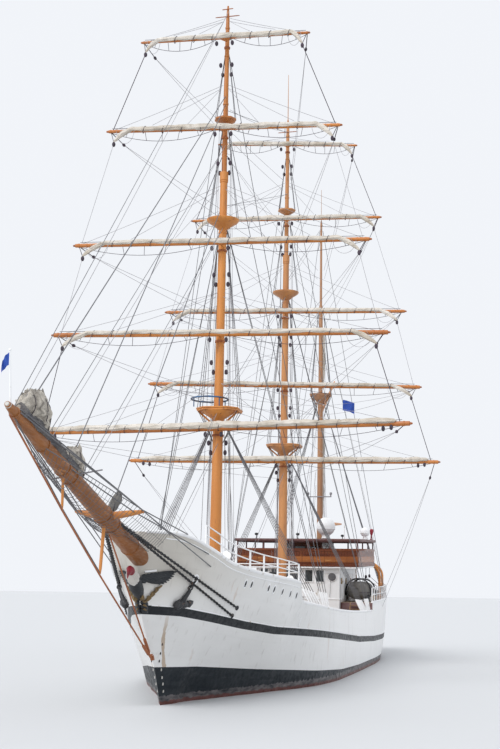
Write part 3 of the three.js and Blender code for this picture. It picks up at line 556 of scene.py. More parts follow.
yards = {
    "course": {"height": 13.6, "half": {"fore": 10.75, "main": 10.5}, "radius": 0.15, "depth": 0.36,
               "ahead": 0.11, "lift": 0.15, "droop": 0, "brace": {"fore": -6, "main": 5}},
    "lower_topsail": {"height": 18.75, "half": {"fore": 9.27, "main": 9.27}, "radius": 0.15, "depth": 0.27,
                      "ahead": 0.1, "lift": 0.1, "droop": 0.66, "brace": {"fore": 4, "main": 10}},
    "upper_topsail": {"height": 23.85, "half": {"fore": 8.29, "main": 8.29}, "radius": 0.13, "depth": 0.28,
                      "ahead": 0.09, "lift": 0.1, "droop": 0.68, "brace": {"fore": 3, "main": 6}},
    "topgallant": {"height": 30.4, "half": {"fore": 6.63, "main": 6.63}, "radius": 0.11, "depth": 0.32,
                   "ahead": 0.08, "lift": 0.08, "droop": 0.72, "brace": {"fore": 4, "main": 4}},
    "royal": {"height": 35.75, "half": {"fore": 4.86, "main": 4.86}, "radius": 0.09, "depth": 0.3,
              "ahead": 0.07, "lift": 0.07, "droop": 0.72, "brace": {"fore": 1, "main": 10}},
}


def onMast(mastName, height, ahead=0.0, side=0.0):
    mast = masts[mastName]
    rake = math.radians(mast["rake"])
    above = height - rakeDatum
    return at(mast["x"] + ahead * math.cos(rake) - above * math.sin(rake), side,
              rakeDatum + ahead * math.sin(rake) + above * math.cos(rake))


def onYard(mastName, yardName, side, ahead=0.0, up=0.0):      # ahead and up are from the yard's axis
    yard = yards[yardName]
    brace = math.radians(yard["brace"][mastName])
    forward = yardAhead + ahead
    return onMast(mastName, yard["height"] + up, forward * math.cos(brace) - side * math.sin(brace),
                  forward * math.sin(brace) + side * math.cos(brace))


def mastRadius(mastName, height):
    mast = masts[mastName]
    return fromTable(mast["lower"] + mast["upper"] + mast.get("pole", []), height)


def sparBetween(name, mastName, rows, sides=28):      # rows are height and radius
    low, high = rows[0][0], rows[-1][0]
    shares = [((height - low) / (high - low), radius) for height, radius in rows]
    return spar(name, onMast(mastName, low), onMast(mastName, high), shares, sides)


def band(name, mastName, height, tall, proud, sides=24):
    radius = mastRadius(mastName, height) + proud
    return sparBetween(name, mastName, [(height, radius - proud * 0.9), (height + 0.01, radius),
                                        (height + tall - 0.01, radius),
                                        (height + tall, radius - proud * 0.9)], sides)


def buildTop(mastName):      # the platform at the head of the lower mast, with its brackets and rim
    mast = masts[mastName]
    half = mast["topHalf"]
    outline = [(0.75, -0.6), (0.3, -1), (-0.8, -1), (-0.8, 1), (0.3, 1), (0.75, 0.6)]
    rim = [onMast(mastName, mast["top"] + 0.13, x * half, y * half) for x, y in outline]
    radius = half * 1.25 * modelScale
    bpy.ops.mesh.primitive_circle_add(vertices=6, radius=radius, fill_type="NGON")
    plate = named(f"{mastName}Top")
    for vertex, spot in zip(plate.data.vertices, rim):
        vertex.co = spot
    bpy.ops.object.mode_set(mode="EDIT")
    bpy.ops.mesh.select_all(action="SELECT")
    bpy.ops.mesh.inset(thickness=0.06 * modelScale)
    bpy.ops.mesh.select_all(action="SELECT")
    bpy.ops.mesh.extrude_region_move(TRANSFORM_OT_translate={"value": (0, 0, -0.12 * modelScale)})
    bpy.ops.mesh.select_all(action="SELECT")
    bpy.ops.mesh.normals_make_consistent(inside=False)
    bpy.ops.object.mode_set(mode="OBJECT")
    rows = [(mast["top"] - 0.62, 0.27), (mast["top"] - 0.4, 0.36), (mast["top"] - 0.05, half * 0.8),
            (mast["top"], half * 0.82)]
    funnel = sparBetween("funnel", mastName, rows, 16)
    knees = [[onMast(mastName, mast["top"] - 0.7, 0, side * 0.27),
              onMast(mastName, mast["top"] + 0.03, 0, side * half)]
             for side in (-1, 1)]
    kneeBars = ropes("knees", knees, 0.055)
    rimBar = ropes("rim", [rim + rim[:1]], 0.05)
    piece = join(f"{mastName}Top", [plate, funnel, kneeBars, rimBar])
    return fit(piece, mast["paint"][0], replaces=[f"{mastName}_top"])


def buildMast(mastName):
    mast = masts[mastName]
    lower = [sparBetween("lowerMast", mastName, mast["lower"])]
    lower += [band("hoop", mastName, height, 0.12, 0.025) for height in (5.2, mast["top"] - 0.95)]
    fit(join(f"{mastName}LowerMast", lower), mast["paint"][0], replaces=[f"{mastName}_lower_mast"])
    upper = [sparBetween("upperMast", mastName, mast["upper"])]
    if "crosstrees" in mast:
        trees = mast["crosstrees"]
        upper.append(sparBetween("crosstrees", mastName,
                                 [(trees - 0.55, 0.22), (trees - 0.3, 0.5), (trees - 0.1, 0.82),
                                                          (trees, 0.9), (trees + 0.05, 0.9),
                                  (trees + 0.06, 0.25)], 20))
        upper += [band("hoop", mastName, height, 0.1, 0.03)
                  for height in (trees - 0.75, mast["doubling"] - 0.6)]
    fit(join(f"{mastName}Topmast", upper), mast["paint"][1], replaces=[f"{mastName}_topmast"])
    if "pole" in mast:
        trees = mast["trees"]
        pole = [sparBetween("pole", mastName, mast["pole"], 20)]
        pole.append(sparBetween("smallTrees", mastName,
                                [(trees - 0.3, 0.16), (trees - 0.22, 0.3), (trees - 0.02, 0.62),
                                                         (trees + 0.07, 0.62), (trees + 0.08, 0.2)], 8))
        pole += [band("hoop", mastName, height, 0.1, 0.025, 16) for height in (trees + 0.9, 34.9, 36.6)]
        fit(join(f"{mastName}TopgallantMast", pole), mast["paint"][2],
            replaces=[f"{mastName}_topgallant_mast"])
    buildTop(mastName)
    hoops = []
    for yard in yards.values() if mastName != "mizzen" else []:
        hoops.append(band("truss", mastName, yard["height"] - 0.35, 0.12, 0.05))
        hoops.append(band("truss", mastName, yard["height"] + 0.22, 0.12, 0.05))
    if hoops:
        fit(join(f"{mastName}TrussBands", hoops), "stayOrange")


def buildYard(mastName, yardName):
    yard = yards[yardName]
    body = f"{mastName}_{yardName}"
    on = partial(onYard, mastName, yardName)
    half, radius = yard["half"][mastName], yard["radius"]
    tip = 0.14 / half / 2
    rows = [(tip, 0.8), (0.06, 0.84), (0.2, 0.93), (0.45, 1.0), (0.55, 1.0), (0.8, 0.93), (0.94, 0.84),
            (1 - tip, 0.8)]
    pole = spar("yard", on(-half), on(half),
                [(share, size * radius) for share, size in rows])
    truss = ropes("truss", [[on(0, -0.5), on(0, -0.02)], [on(-0.3, 0), on(0, -0.4)],
                            [on(0.3, 0), on(0, -0.4)]], 0.06)
    bands = []
    for side in (-1, 1):
        for share in (0.9, 0.955):
            inner = on(side * half * share)
            outer = on(side * (half * share + 0.08))
            bands.append(spar("band", inner, outer,
                              [(0, radius * 0.84), (0.05, radius * 0.93), (0.95, radius * 0.93),
                                                     (1, radius * 0.84)]))
    piece = join(f"{body}Yard", [pole, truss] + bands)
    fit(piece, "yardPaint", body, "spar_ochre", [f"{mastName}_{yardName}_yard"])
    tips = [spar("tip", on(side * (half - 0.2)), on(side * half),
                 [(0, 0.07), (0.75, 0.06), (1, 0.035)], 12) for side in (-1, 1)]
    fit(join(f"{body}Tips", tips), "stayOrange", body, "spar_ochre")


bundleRows = [(0, 1, 0), (0.3, 0.97, 0), (0.6, 0.92, 0), (0.78, 0.85, 0), (0.85, 0.9, 0.4), (0.925, 0.5, 1)]
furl = {"stations": 150, "around": 22, "gasket": 1.08, "clewAhead": 0.32, "reach": 0.925}


def sailCentre(yard, side, half):
    share = abs(side) / half
    size = fromTable(bundleRows, share, 1)
    drop = fromTable(bundleRows, share, 2) if yard["droop"] else 0
    ahead = mix(yard["ahead"], furl["clewAhead"], min(1, drop * 2))
    up = mix(yard["lift"], -yard["droop"], drop)
    return size, drop, ahead, up


def buildSail(mastName, yardName, seed):
    yard = yards[yardName]
    body = f"{mastName}_{yardName}"
    on = partial(onYard, mastName, yardName)
    half = yard["half"][mastName]
    reach = half * furl["reach"]
    rings = []
    for index in range(furl["stations"] + 1):
        side = mix(-reach, reach, index / furl["stations"])
        size, drop, ahead, up = sailCentre(yard, side, half)
        toGasket = abs((side / furl["gasket"]) % 1 - 0.5) * furl["gasket"]
        pinch = 0.82 + 0.18 * min(1, toGasket / 0.22)
        lumps = 1 + 0.16 * noise.noise(Vector((side * 0.9, seed * 7.3, 0)))
        radius = yard["depth"] / 2 * size * lumps * (pinch if drop == 0 else 1)
        end = min(1, (reach - abs(side)) / 0.12)
        radius *= 0.25 + 0.75 * end
        flat = mix(1, 0.55, min(1, drop * 2))
        tall = mix(1, 1.25, min(1, drop * 2))
        sway = 0.05 * noise.noise(Vector((side * 0.6, seed * 3.1, 5)))
        ring = []
        for step in range(furl["around"] + 1):
            angle = step % furl["around"] / furl["around"] * 2 * math.pi
            fold = 0.09 * math.sin(6 * angle + side * 2.1 + seed) * (1 + drop * 1.2)
            crease = 0.22 * noise.noise(Vector((math.cos(angle) * 1.7,
                                                math.sin(angle) * 1.7 + side * 1.6, seed * 2.3)))
            spread = radius * (1 + fold + crease)
            ring.append(on(side, ahead + spread * flat * math.sin(angle),
                           up + sway * (1 - drop) + spread * tall * math.cos(angle)))
        rings.append(ring)
    closeEnds(rings)
    piece = gridOver(f"{body}Sail", rings, wrap=True)
    smooth(piece, 60)
    fit(piece, "canvas", body, "canvas", [f"{mastName}_{yardName}_sail"])
    gaskets = []
    side = -reach + 0.6
    while side < reach - 0.5:
        size, drop, ahead, up = sailCentre(yard, side, half)
        if drop == 0:
            wide, high = yard["depth"] / 2 * size + 0.03, yard["depth"] / 2 * size + 0.06
            loop = []
            for step in range(13):
                angle = step / 12 * 2 * math.pi
                loop.append(on(side + 0.07 * math.cos(angle), ahead * 0.55 + wide * math.sin(angle),
                               up * 0.55 + high * math.cos(angle)))
            gaskets.append(loop)
        side += furl["gasket"]
    fit(ropes(f"{body}Gaskets", gaskets, 0.017), "ropeDark", body)


aloft = {"hoop": ("fore", 15.3, 1.0), "shift": -0.5,
         "bars": [("fore", 37.3, 0.7), ("fore", 37.75, 0.32), ("main", 36.9, 0.68)]}


def buildAloft():      # the hoop over the fore top and the small bars at the trucks
    mastName, height, radius = aloft["hoop"]
    up = onMast(mastName, height + 1) - onMast(mastName, height)
    hoop = ringRound("topHoop", onMast(mastName, height, 0, aloft["shift"]), up, radius, 0.045, 48)
    props = []
    for x, y in ((0.7, 0.7), (0.7, -0.7), (-0.7, 0.7), (-0.7, -0.7)):
        ends = [onMast(mastName, level, x * radius, y * radius + aloft["shift"])
                for level in (height - 0.5, height)]
        props.append(spar("prop", *ends, [(0, 0.03), (1, 0.03)], 8))
    fit(join("topHoop", [hoop] + props), "hoopBlue")
    bars = [spar("bar", onMast(mastName, height, 0.1, -half), onMast(mastName, height + 0.04, 0.1, half),
                 [(0, 0.02), (0.1, 0.03), (0.9, 0.03), (1, 0.02)], 8) for mastName, height,
            half in aloft["bars"]]
    fit(join("truckBars", bars), "stayOrange")


for mastName in masts:
    buildMast(mastName)
buildAloft()
print("masts done")
for number, (mastName, yardName) in enumerate((mast, yard) for mast in ("fore", "main") for yard in yards):
    buildYard(mastName, yardName)
    buildSail(mastName, yardName, number + 1)
print("yards and sails done")

# Hull: one half from a table of sections, then mirrored

# columns are x, keel, and a half breadth and a height at the bilge, the waterline, the stripe and the rail
sections = [
    (-31.2, 3.0, 0.3, 3.2, 0.45, 3.5, 0.55, 3.9, 0.6, 4.7),
    (-30.6, 2.2, 0.9, 2.4, 1.4, 2.8, 1.75, 3.3, 1.9, 4.68),
    (-29.4, 1.3, 1.3, 1.5, 2.1, 1.95, 2.7, 2.6, 3.0, 4.64),
    (-27.6, 0.3, 1.4, 0.5, 2.6, 1.05, 3.5, 2.0, 3.9, 4.6),
    (-24.7, -0.9, 0.9, -0.5, 2.9, 0.3, 4.1, 1.78, 4.45, 4.55),
    (-24.5, -4.4, 0.3, -1.7, 2.8, 0.2, 4.12, 1.77, 4.48, 4.54),
    (-20, -4.4, 1.6, -2.5, 4.3, 0, 4.8, 1.74, 4.95, 4.45),
    (-14, -4.4, 3.6, -3.0, 5.1, 0, 5.25, 1.74, 5.2, 4.35),
    (-8.3, -4.4, 4.4, -3.3, 5.33, 0, 5.36, 1.8, 5.27, 4.25),
    (-8.1, -4.4, 4.4, -3.3, 5.33, 0, 5.36, 1.8, 5.28, 3.68),
    (0, -4.4, 4.6, -3.4, 5.37, 0, 5.4, 2.05, 5.33, 3.75), (8, -4.4, 4.2, -3.3, 5.3, 0, 5.38, 2.5, 5.33, 3.96),
    (13, -4.4, 3.3, -3.1, 4.85, 0, 5.2, 2.78, 5.28, 4.2),
    (16, -4.4, 2.5, -2.9, 4.1, 0, 4.8, 2.95, 5.14, 4.38),
    (18.9, -4.35, 1.7, -2.6, 3.05, 0, 4.2, 3.1, 4.9, 4.6),
    (19.1, -4.35, 1.65, -2.6, 3.0, 0, 4.16, 3.11, 4.85, 5.52),
    (21.4, -4.2, 1.1, -2.4, 2.15, 0, 3.55, 3.28, 4.42, 5.74),
    (23.8, -3.9, 0.6, -2.2, 1.3, 0, 2.85, 3.53, 3.76, 5.95),
    (26.7, -2.7, 0.18, -1.4, 0.4, 0, 1.98, 3.9, 2.98, 6.36),
    (28, -0.3, 0.12, 0.4, 0.4, 1.4, 1.6, 4.05, 2.64, 6.75),
    (29.2, 1.7, 0.12, 2.0, 0.42, 2.8, 1.2, 4.18, 2.3, 7.1),
    (30.3, 2.8, 0.1, 3.0, 0.34, 3.5, 0.82, 4.28, 1.9, 7.4),
    (31.4, 3.98, 0.07, 4.08, 0.2, 4.35, 0.42, 4.9, 1.29, 7.57),
    (31.9, 5.0, 0.07, 5.1, 0.17, 5.4, 0.34, 6.0, 0.85, 7.58),
    (32.2, 6.3, 0.05, 6.38, 0.12, 6.6, 0.2, 6.85, 0.5, 7.59),
    (32.5, 7.3, 0.04, 7.34, 0.06, 7.4, 0.08, 7.46, 0.12, 7.6),
]
hull = {
    "stripe": [(-31.2, 1.77), (-14, 1.74), (-8.3, 1.8), (0, 2.05), (8, 2.48), (13, 2.76), (16, 2.93),
               (20.6, 3.17), (23.8, 3.5), (26.7, 3.88), (29.2, 4.17), (32.5, 4.34)],
    "stripeHalf": 0.19,
    "bootTop": [(-31.2, 0.62), (-14, 0.42), (0, 0.45), (7.3, 0.57), (14, 0.85), (20.7, 1.25),
                (26, 1.62), (32.5, 1.85)],
    "forecastleDeck": [(19.3, 5.42), (21.4, 5.6), (23.8, 5.76), (26.7, 5.95), (28, 6.05), (29.2, 6.15),
                       (30.3, 6.25), (31.2, 6.3)],
    "bulwark": 1.15, "plate": 0.12, "step": 0.45, "bowStep": 0.15, "poopBreak": -8.1,
    "forecastleBreak": 18.85,
}


def smoothColumn(rows, column):      # a curve that never overshoots, through one column of a table
    marks = [row[0] for row in rows]
    values = [row[column] for row in rows]
    steps = [(values[i + 1] - values[i]) / (marks[i + 1] - marks[i]) for i in range(len(rows) - 1)]
    slopes = [steps[0]]
    for before, after in zip(steps, steps[1:]):
        slopes.append(0 if before * after <= 0 else 2 * before * after / (before + after))
    slopes.append(steps[-1])

    def value(mark):
        mark = min(max(mark, marks[0]), marks[-1])
        index = next((i for i in range(len(steps)) if mark <= marks[i + 1]), len(steps) - 1)
        wide = marks[index + 1] - marks[index]
        share = (mark - marks[index]) / wide
        return ((1 + 2 * share) * (1 - share) ** 2 * values[index]
                + share * (1 - share) ** 2 * wide * slopes[index]
                + share ** 2 * (3 - 2 * share) * values[index + 1]
                - share ** 2 * (1 - share) * wide * slopes[index + 1])
    return value


hullCurves = [smoothColumn(sections, column) for column in range(1, 10)]
hullCache = {}


def sectionAt(x):      # keel height, and half breadth as a curve of height
    key = round(x, 4)
    if key not in hullCache:
        keel, *pairs = [curve(x) for curve in hullCurves]
        marks = [(keel, 0.0)] + [(pairs[i + 1], pairs[i]) for i in range(0, 8, 2)]
        hullCache[key] = keel, smoothColumn(marks, 1), marks[-1][0]
    return hullCache[key]


def hullSide(x, z):
    return sectionAt(x)[1](z)


def railHeight(x):
    return sectionAt(x)[2]


def deckHeight(x):
    if hull["poopBreak"] <= x <= hull["forecastleBreak"]:
        return railHeight(x) - hull["bulwark"]
    if x >= hull["forecastleDeck"][0][0]:
        return fromTable(hull["forecastleDeck"], x)
    return railHeight(x)


def onHull(x, z, out=0.0, side=1):      # a place on the plating, and out from it
    step = 0.05
    along = at(x + step, hullSide(x + step, z), z) - at(x - step, hullSide(x - step, z), z)
    up = at(x, hullSide(x, z + step), z + step) - at(x, hullSide(x, z - step), z - step)
    normal = along.cross(up).normalized()
    if normal.y < 0:
        normal = -normal
    spot = at(x, hullSide(x, z), z) + normal * out * modelScale
    return Vector((spot.x, spot.y * side, spot.z)), Vector((normal.x, normal.y * side, normal.z))


def hullStations():
    marks = [row[0] for row in sections] + [-8.13, -8.09, 18.84, 18.86, 19.29]
    x = sections[0][0]
    while x < 32.5:
        marks.append(x)
        x += hull["step"] if x < 29.5 else hull["bowStep"]
    marks = sorted(set(round(mark, 3) for mark in marks))
    kept = [marks[0]]
    for mark in marks[1:]:
        if mark - kept[-1] > 0.015:
            kept.append(mark)
    return kept


def hullColumn(x):
    keel, side, rail = sectionAt(x)
    boot = max(keel + 0.02, fromTable(hull["bootTop"], x))
    low = max(boot + 0.02, fromTable(hull["stripe"], x) - hull["stripeHalf"])
    high = max(low + 0.02, fromTable(hull["stripe"], x) + hull["stripeHalf"])
    low, high = min(low, rail - 0.04), min(high, rail - 0.02)
    heights = []
    for start, end, count in ((keel, boot, 16), (boot, low, 5), (low, high, 2), (high, rail, 9)):
        heights += [mix(start, end, step / count) for step in range(count)]
    column = [(side(z), z) for z in heights + [rail]]
    deck = min(deckHeight(x), rail)
    inner = max(side(rail) - hull["plate"], 0)
    deckSide = max(min(side(deck) - hull["plate"], inner if deck == rail else 99), 0)
    column += [(inner, rail), (mix(inner, deckSide, 0.5), mix(rail, deck, 0.5)), (deckSide, deck),
               (deckSide * 0.66, deck), (deckSide * 0.33, deck), (0, deck)]
    return column


hullLook = {
    # aft is painted light: a lighter white laid over the plating towards the stern
    "white": (0.85, 0.85, 0.84), "shade": (0.72, 0.715, 0.70), "aft": (0.95, 0.95, 0.945), "aftLightFrom": (9, 0),
    "cream": (0.60, 0.57, 0.515), "creamFrom": (11.5, 15.5), "creamUp": (0.1, 1.6),
    "streak": (0.33, 0.3, 0.27), "rust": (0.42, 0.22, 0.1), "weep": (0.4, 0.27, 0.16),
    "weepFrom": (2.15, 1.6),
    "weepAt": 13.76, "weepRake": 0.633, "weepWide": 0.11, "stripe": (0.006, 0.009, 0.012),
    "boot": (0.004, 0.009, 0.014), "bootWorn": (0.018, 0.024, 0.03), "scum": (0.21, 0.19, 0.19),
    "scumTop": 0.2,
    "red": (0.1, 0.03, 0.024), "redWorn": (0.17, 0.07, 0.06), "redTop": 0.085,
    "plates": {"Scale": 1.0, "Brick Width": 2.6, "Row Height": 0.62, "Mortar Size": 0.004,
               "Mortar Smooth": 0.6,
               "Color1": (1, 1, 1, 1), "Color2": (1, 1, 1, 1), "Mortar": (0, 0, 0, 1)},
}


def hullPaint(name, look):      # white plating with the stripe, the boot-top and the marks of the sea
    made, tree, shader = startMaterial(name, 0.4)
    shader.inputs["Specular IOR Level"].default_value = 0.28
    work, paint, ramp = partial(sums, tree), partial(blendColour, tree), partial(rampOf, tree)

    def cloud(stretch, *shape):
        return noiseOf(tree, objectPlace(tree, stretch), *shape)

    place = objectPlace(tree)
    above = {}
    for line in ("aboveStripe", "aboveBoot"):
        attribute = tree.nodes.new("ShaderNodeAttribute")
        attribute.attribute_name = line
        above[line] = attribute.outputs["Fac"]
    split = tree.nodes.new("ShaderNodeSeparateXYZ")
    tree.links.new(place, split.inputs["Vector"])
    x, z = split.outputs["X"], split.outputs["Z"]
    fine = noiseOf(tree, place, 9, 6)
    colour = paint(cloud((0.5, 0.5, 1.2), 0.6, 5, 0.3, 0.75), look["white"], look["shade"])
    cream = work("MULTIPLY", ramp(x, *look["creamFrom"]), ramp(above["aboveStripe"], *look["creamUp"]))
    colour = paint(cream, colour, look["cream"])
    # painted light: the plating is drawn lighter from about amidships to the stern
    colour = paint(work("MULTIPLY", ramp(x, *look["aftLightFrom"]), 0.75), colour, look["aft"])
    streaks = cloud((5, 5, 0.35), 1.6, 5, 0.6, 0.85)
    colour = paint(work("MULTIPLY", streaks, 0.45), colour, look["streak"])
    rust = cloud((3, 3, 0.25), 1.3, 3, 0.68, 0.78)
    colour = paint(work("MULTIPLY", rust, 0.35), colour, look["rust"])
    drift = work("SUBTRACT", x, work("MULTIPLY", z, look["weepRake"]))
    off = work("ABSOLUTE", work("SUBTRACT", drift, look["weepAt"]), 0)      # below each anchor
    narrow = work("MULTIPLY", noiseOf(tree, place, 3, 4, 0.2, 0.8), look["weepWide"])
    weeping = work("MULTIPLY", work("LESS_THAN", off, narrow), ramp(z, *look["weepFrom"]))
    colour = paint(work("MULTIPLY", weeping, 0.75), colour, look["weep"])
    stripe = work("LESS_THAN", work("ABSOLUTE", above["aboveStripe"], 0), hull["stripeHalf"])
    colour = paint(stripe, colour, look["stripe"])
    bottom = paint(cloud((0.4, 0.4, 1.5), 3, 7, 0.45, 0.7), look["boot"], look["bootWorn"])
    wavy = work("MULTIPLY", work("SUBTRACT", fine, 0.5), 0.03)
    height = work("ADD", z, work("MULTIPLY", wavy, 1.5))
    scum = cloud((1.5, 1.5, 4), 2.5, 6, 0.3, 0.7)
    scumHigh = work("LESS_THAN", height, look["scumTop"])
    bottom = paint(work("MULTIPLY", scumHigh, scum), bottom, look["scum"])
    red = paint(scum, look["red"], look["redWorn"])
    bottom = paint(work("LESS_THAN", height, look["redTop"]), bottom, red)
    colour = paint(work("LESS_THAN", above["aboveBoot"], 0.0), colour, bottom)
    tree.links.new(colour, shader.inputs["Base Color"])
    roughBetween(tree, shader, fine, 0.32, 0.6)
    plates = tree.nodes.new("ShaderNodeTexBrick")
    for socket, value in look["plates"].items():
        plates.inputs[socket].default_value = value
    along = tree.nodes.new("ShaderNodeCombineXYZ")
    tree.links.new(x, along.inputs["X"])
    tree.links.new(above["aboveStripe"], along.inputs["Y"])
    tree.links.new(along.outputs["Vector"], plates.inputs["Vector"])
    addBump(tree, shader, plates.outputs["Color"], 0.0018)
    addBump(tree, shader, noiseOf(tree, place, 0.9, 2, 0.2, 0.8), 0.012)
    return made


materials["hullPaint"] = hullPaint("hullPaint", hullLook)


def buildHull():
    stations = hullStations()
    rows = [[at(x, y, z) for y, z in hullColumn(x)] for x in stations]
    rows.insert(0, [Vector((spot.x, 0, spot.z)) for spot in rows[0]])
    rows.append([Vector((spot.x, 0, spot.z)) for spot in rows[-1]])
    piece = gridOver("hullShell", rows)
    across = len(rows[0])
    for name in ("hullPaint", "houseWhite", "deckPlanks", "roofBrown"):
        piece.data.materials.append(materials[name])
    for face in piece.data.polygons:
        column = face.index % (across - 1)
        waist = hull["poopBreak"] < face.center.x / modelScale < hull["forecastleBreak"]
        flat, poopFront = abs(face.normal.z) > 0.5, abs(face.center.x / modelScale - hull["poopBreak"]) < 0.3
        if column < 32:
            kind = 0
        elif column > 34 and flat:
            kind = 2
        else:      # bulwarks and the faces where the deck steps
            kind = 3 if poopFront or waist and 32 < column < 35 else 1
        face.material_index = kind
    for name, table in (("aboveStripe", "stripe"), ("aboveBoot", "bootTop")):
        attribute = piece.data.attributes.new(name, "FLOAT", "POINT")
        for vertex in piece.data.vertices:
            x, z = vertex.co.x / modelScale, vertex.co.z / modelScale
            attribute.data[vertex.index].value = z - fromTable(hull[table], x)
    mirror = piece.modifiers.new("otherSide", "MIRROR")
    mirror.use_axis = (False, True, False)
    mirror.merge_threshold = 0.001
    applyModifiers(piece)
    facesOut(piece)
    smooth(piece, 28)
    fit(piece, None, slot="hull_white", replaces=["hull"])
    keel = block("barKeel", at(-26.9, -0.14, -4.55), at(21, 0.14, -4.3), 0.03)
    fit(keel, "bottomRed")


def railLine(side, stations, inset=0.06, lift=0.02):
    return [at(x, side * max(hullSide(x, railHeight(x)) - inset, 0), railHeight(x) + lift) for x in stations]


def alongDeck(start, end, step=0.5):
    count = max(2, round(abs(end - start) / step))
    return [mix(start, end, index / count) for index in range(count + 1)]


fairleads = {"rim": 0.15, "thick": 0.036, "hole": 0.14, "deep": 0.012, "shape": (0.72, 1.35),
             "places": ((25.02, 5.45), (24.45, 5.42), (22.73, 5.25), (22.15, 5.2), (21.18, 5.08),
                        (20.13, 4.98), (19.3, 4.9))}
draughtMarks = {"upperDraughtDots": ("blackIron", ((29.3, 2.75), (29.18, 2.35), (29.06, 2.0))),
                "draughtDots": ("paleTip", ((28.72, 1.6), (28.5, 1.25), (28.3, 0.95), (28.12, 0.62)))}


def buildHullTrim():
    caps, beads, rims, holeShades = [], [], [], []
    for side in (-1, 1):
        for start, end in ((-8.05, 18.8), (19.15, 32.3), (-31.15, -8.35)):
            caps.append(railLine(side, alongDeck(start, end), 0.05))
        beads.append([onHull(x, railHeight(x) - 0.24, 0.0, side)[0] for x in alongDeck(19.2, 31.6)])
        beads.append([onHull(x, fromTable(hull["stripe"], x) + 0.2, 0.0, side)[0]
                      for x in alongDeck(-29, 31.2)])
    fit(ropes("capRails", caps, 0.085, 2), "houseWhite")
    fit(ropes("sheerBeads", beads, 0.03, 2), "houseWhite")
    for x, z in fairleads["places"]:
        for side in (-1, 1):
            place = facing(*onHull(x, z, 0.0, side))
            bpy.ops.mesh.primitive_torus_add(major_radius=fairleads["rim"] * modelScale, major_segments=20,
                                             minor_radius=fairleads["thick"] * modelScale, minor_segments=8)
            ring = named("ring")
            ring.data.transform(place @ Matrix.Diagonal((*fairleads["shape"], 0.8, 1)))
            rims.append(ring)
            # each hole is a black disc of painted shade set in its rim
            bpy.ops.mesh.primitive_circle_add(vertices=20, radius=fairleads["hole"] * modelScale,
                                              fill_type="NGON")
            hole = named("hole")
            bpy.ops.object.mode_set(mode="EDIT")
            bpy.ops.mesh.extrude_region_move(TRANSFORM_OT_translate={"value": at(0, 0, fairleads["deep"])})
            bpy.ops.object.mode_set(mode="OBJECT")
            hole.data.transform(place @ Matrix.Diagonal((*fairleads["shape"], 1, 1)))
            holeShades.append(hole)
            deselect()
    fit(join("fairleadRims", rims), "houseWhite")
    fit(join("fairleadHoleShade", holeShades), "blackIron")
    for name, (material, marks) in draughtMarks.items():
        dots = []
        for side in (-1, 1):
            for x, z in marks:
                spot = onHull(x, z, 0.0, side)[0]
                dots.append(block("dot", spot - Vector((0.025, 0.01, 0.03)),
                                  spot + Vector((0.025, 0.012, 0.03)), 0.008))
        fit(join(name, dots), material)
    eye = ringRound("stemEye", at(29.68, 0, 2.2), axisY, 0.12, 0.05)
    lug = block("stemLug", at(29.3, -0.06, 2.05), at(29.66, 0.06, 2.35), 0.03)
    fit(join("stemEye", [eye, lug]), "stayOrange")


buildHull()
buildHullTrim()
print("hull done")

# Railings

railings = {"posts": 1.35, "bar": 0.032, "post": 0.05, "levels": (0.52, 1.0)}


def buildRailing(name, path, height, node):      # path is one run of rail places, port to starboard
    lines = [[spot + rise(height * level * modelScale) for spot in path] for level in railings["levels"]]
    posts = []
    walked = 0.0
    for before, after in zip(path, path[1:]):
        if walked <= 0:
            posts.append([before, before + rise((height + 0.02) * modelScale)])
            walked = railings["posts"] * modelScale
        walked -= (after - before).length
    posts.append([path[-1], path[-1] + rise((height + 0.02) * modelScale)])
    pieces = [ropes("bars", lines, railings["bar"]), ropes("posts", posts, railings["post"])]
    fit(join(name, pieces), "houseWhite", replaces=[node])


for name, node, start, end, step, height in (("forecastleRailing", "forecastle_railing", 29.2,
                                              19.3, 0.35, 0.9),
                                             ("poopRailing", "poop_railing", -8.5, -30.6, 0.4, 1.0)):
    run = railLine(1, alongDeck(start, end, step))
    buildRailing(name, run + railLine(-1, alongDeck(end, start, step)), height, node)

# Rudder and propeller

rudder = {"axis": -26.4, "thick": 0.26,
          "outline": [(0.35, -4.1), (0.35, -0.75), (-0.5, -0.62), (-1.6, -1.0), (-1.75, -2.2), (-1.5, -4.1)]}


def buildRudder():
    bpy.ops.mesh.primitive_circle_add(vertices=len(rudder["outline"]), fill_type="NGON")
    blade = named("rudderBlade")
    for vertex, (x, z) in zip(blade.data.vertices, rudder["outline"]):
        vertex.co = at(rudder["axis"] + x, -rudder["thick"] / 2, z)
    bpy.ops.object.mode_set(mode="EDIT")
    bpy.ops.mesh.extrude_region_move(TRANSFORM_OT_translate={"value": (0, rudder["thick"] * modelScale, 0)})
    bpy.ops.mesh.select_all(action="SELECT")
    bpy.ops.mesh.normals_make_consistent(inside=False)
    bpy.ops.mesh.bevel(offset=0.03, segments=3, affect="EDGES")
    bpy.ops.object.mode_set(mode="OBJECT")
    deselect()
    stock = spar("stock", at(rudder["axis"], 0, -0.9), at(rudder["axis"], 0, -0.35),
                 [(0, 0.12), (1, 0.12)], 16)
    pintles = [spar("pintle", at(rudder["axis"] + 0.2, 0, z), at(rudder["axis"] + 0.2, 0, z + 0.25),
                    [(0, 0.17), (1, 0.17)], 14) for z in (-3.6, -1.5)]
    bars = [block("strap", at(rudder["axis"] - 1.2, -0.15, z), at(rudder["axis"] + 0.3, 0.15, z + 0.16), 0.02)
            for z in (-3.5, -2.5, -1.5)]
    smooth(blade, 30)
    fit(join("rudderBlade", [blade, stock] + pintles + bars), "bottomRed", "rudder", "bottom_red", ["rudder"])


propeller = {"centre": (-25.25, 0, -2.6), "radius": 0.95, "blades": 4}


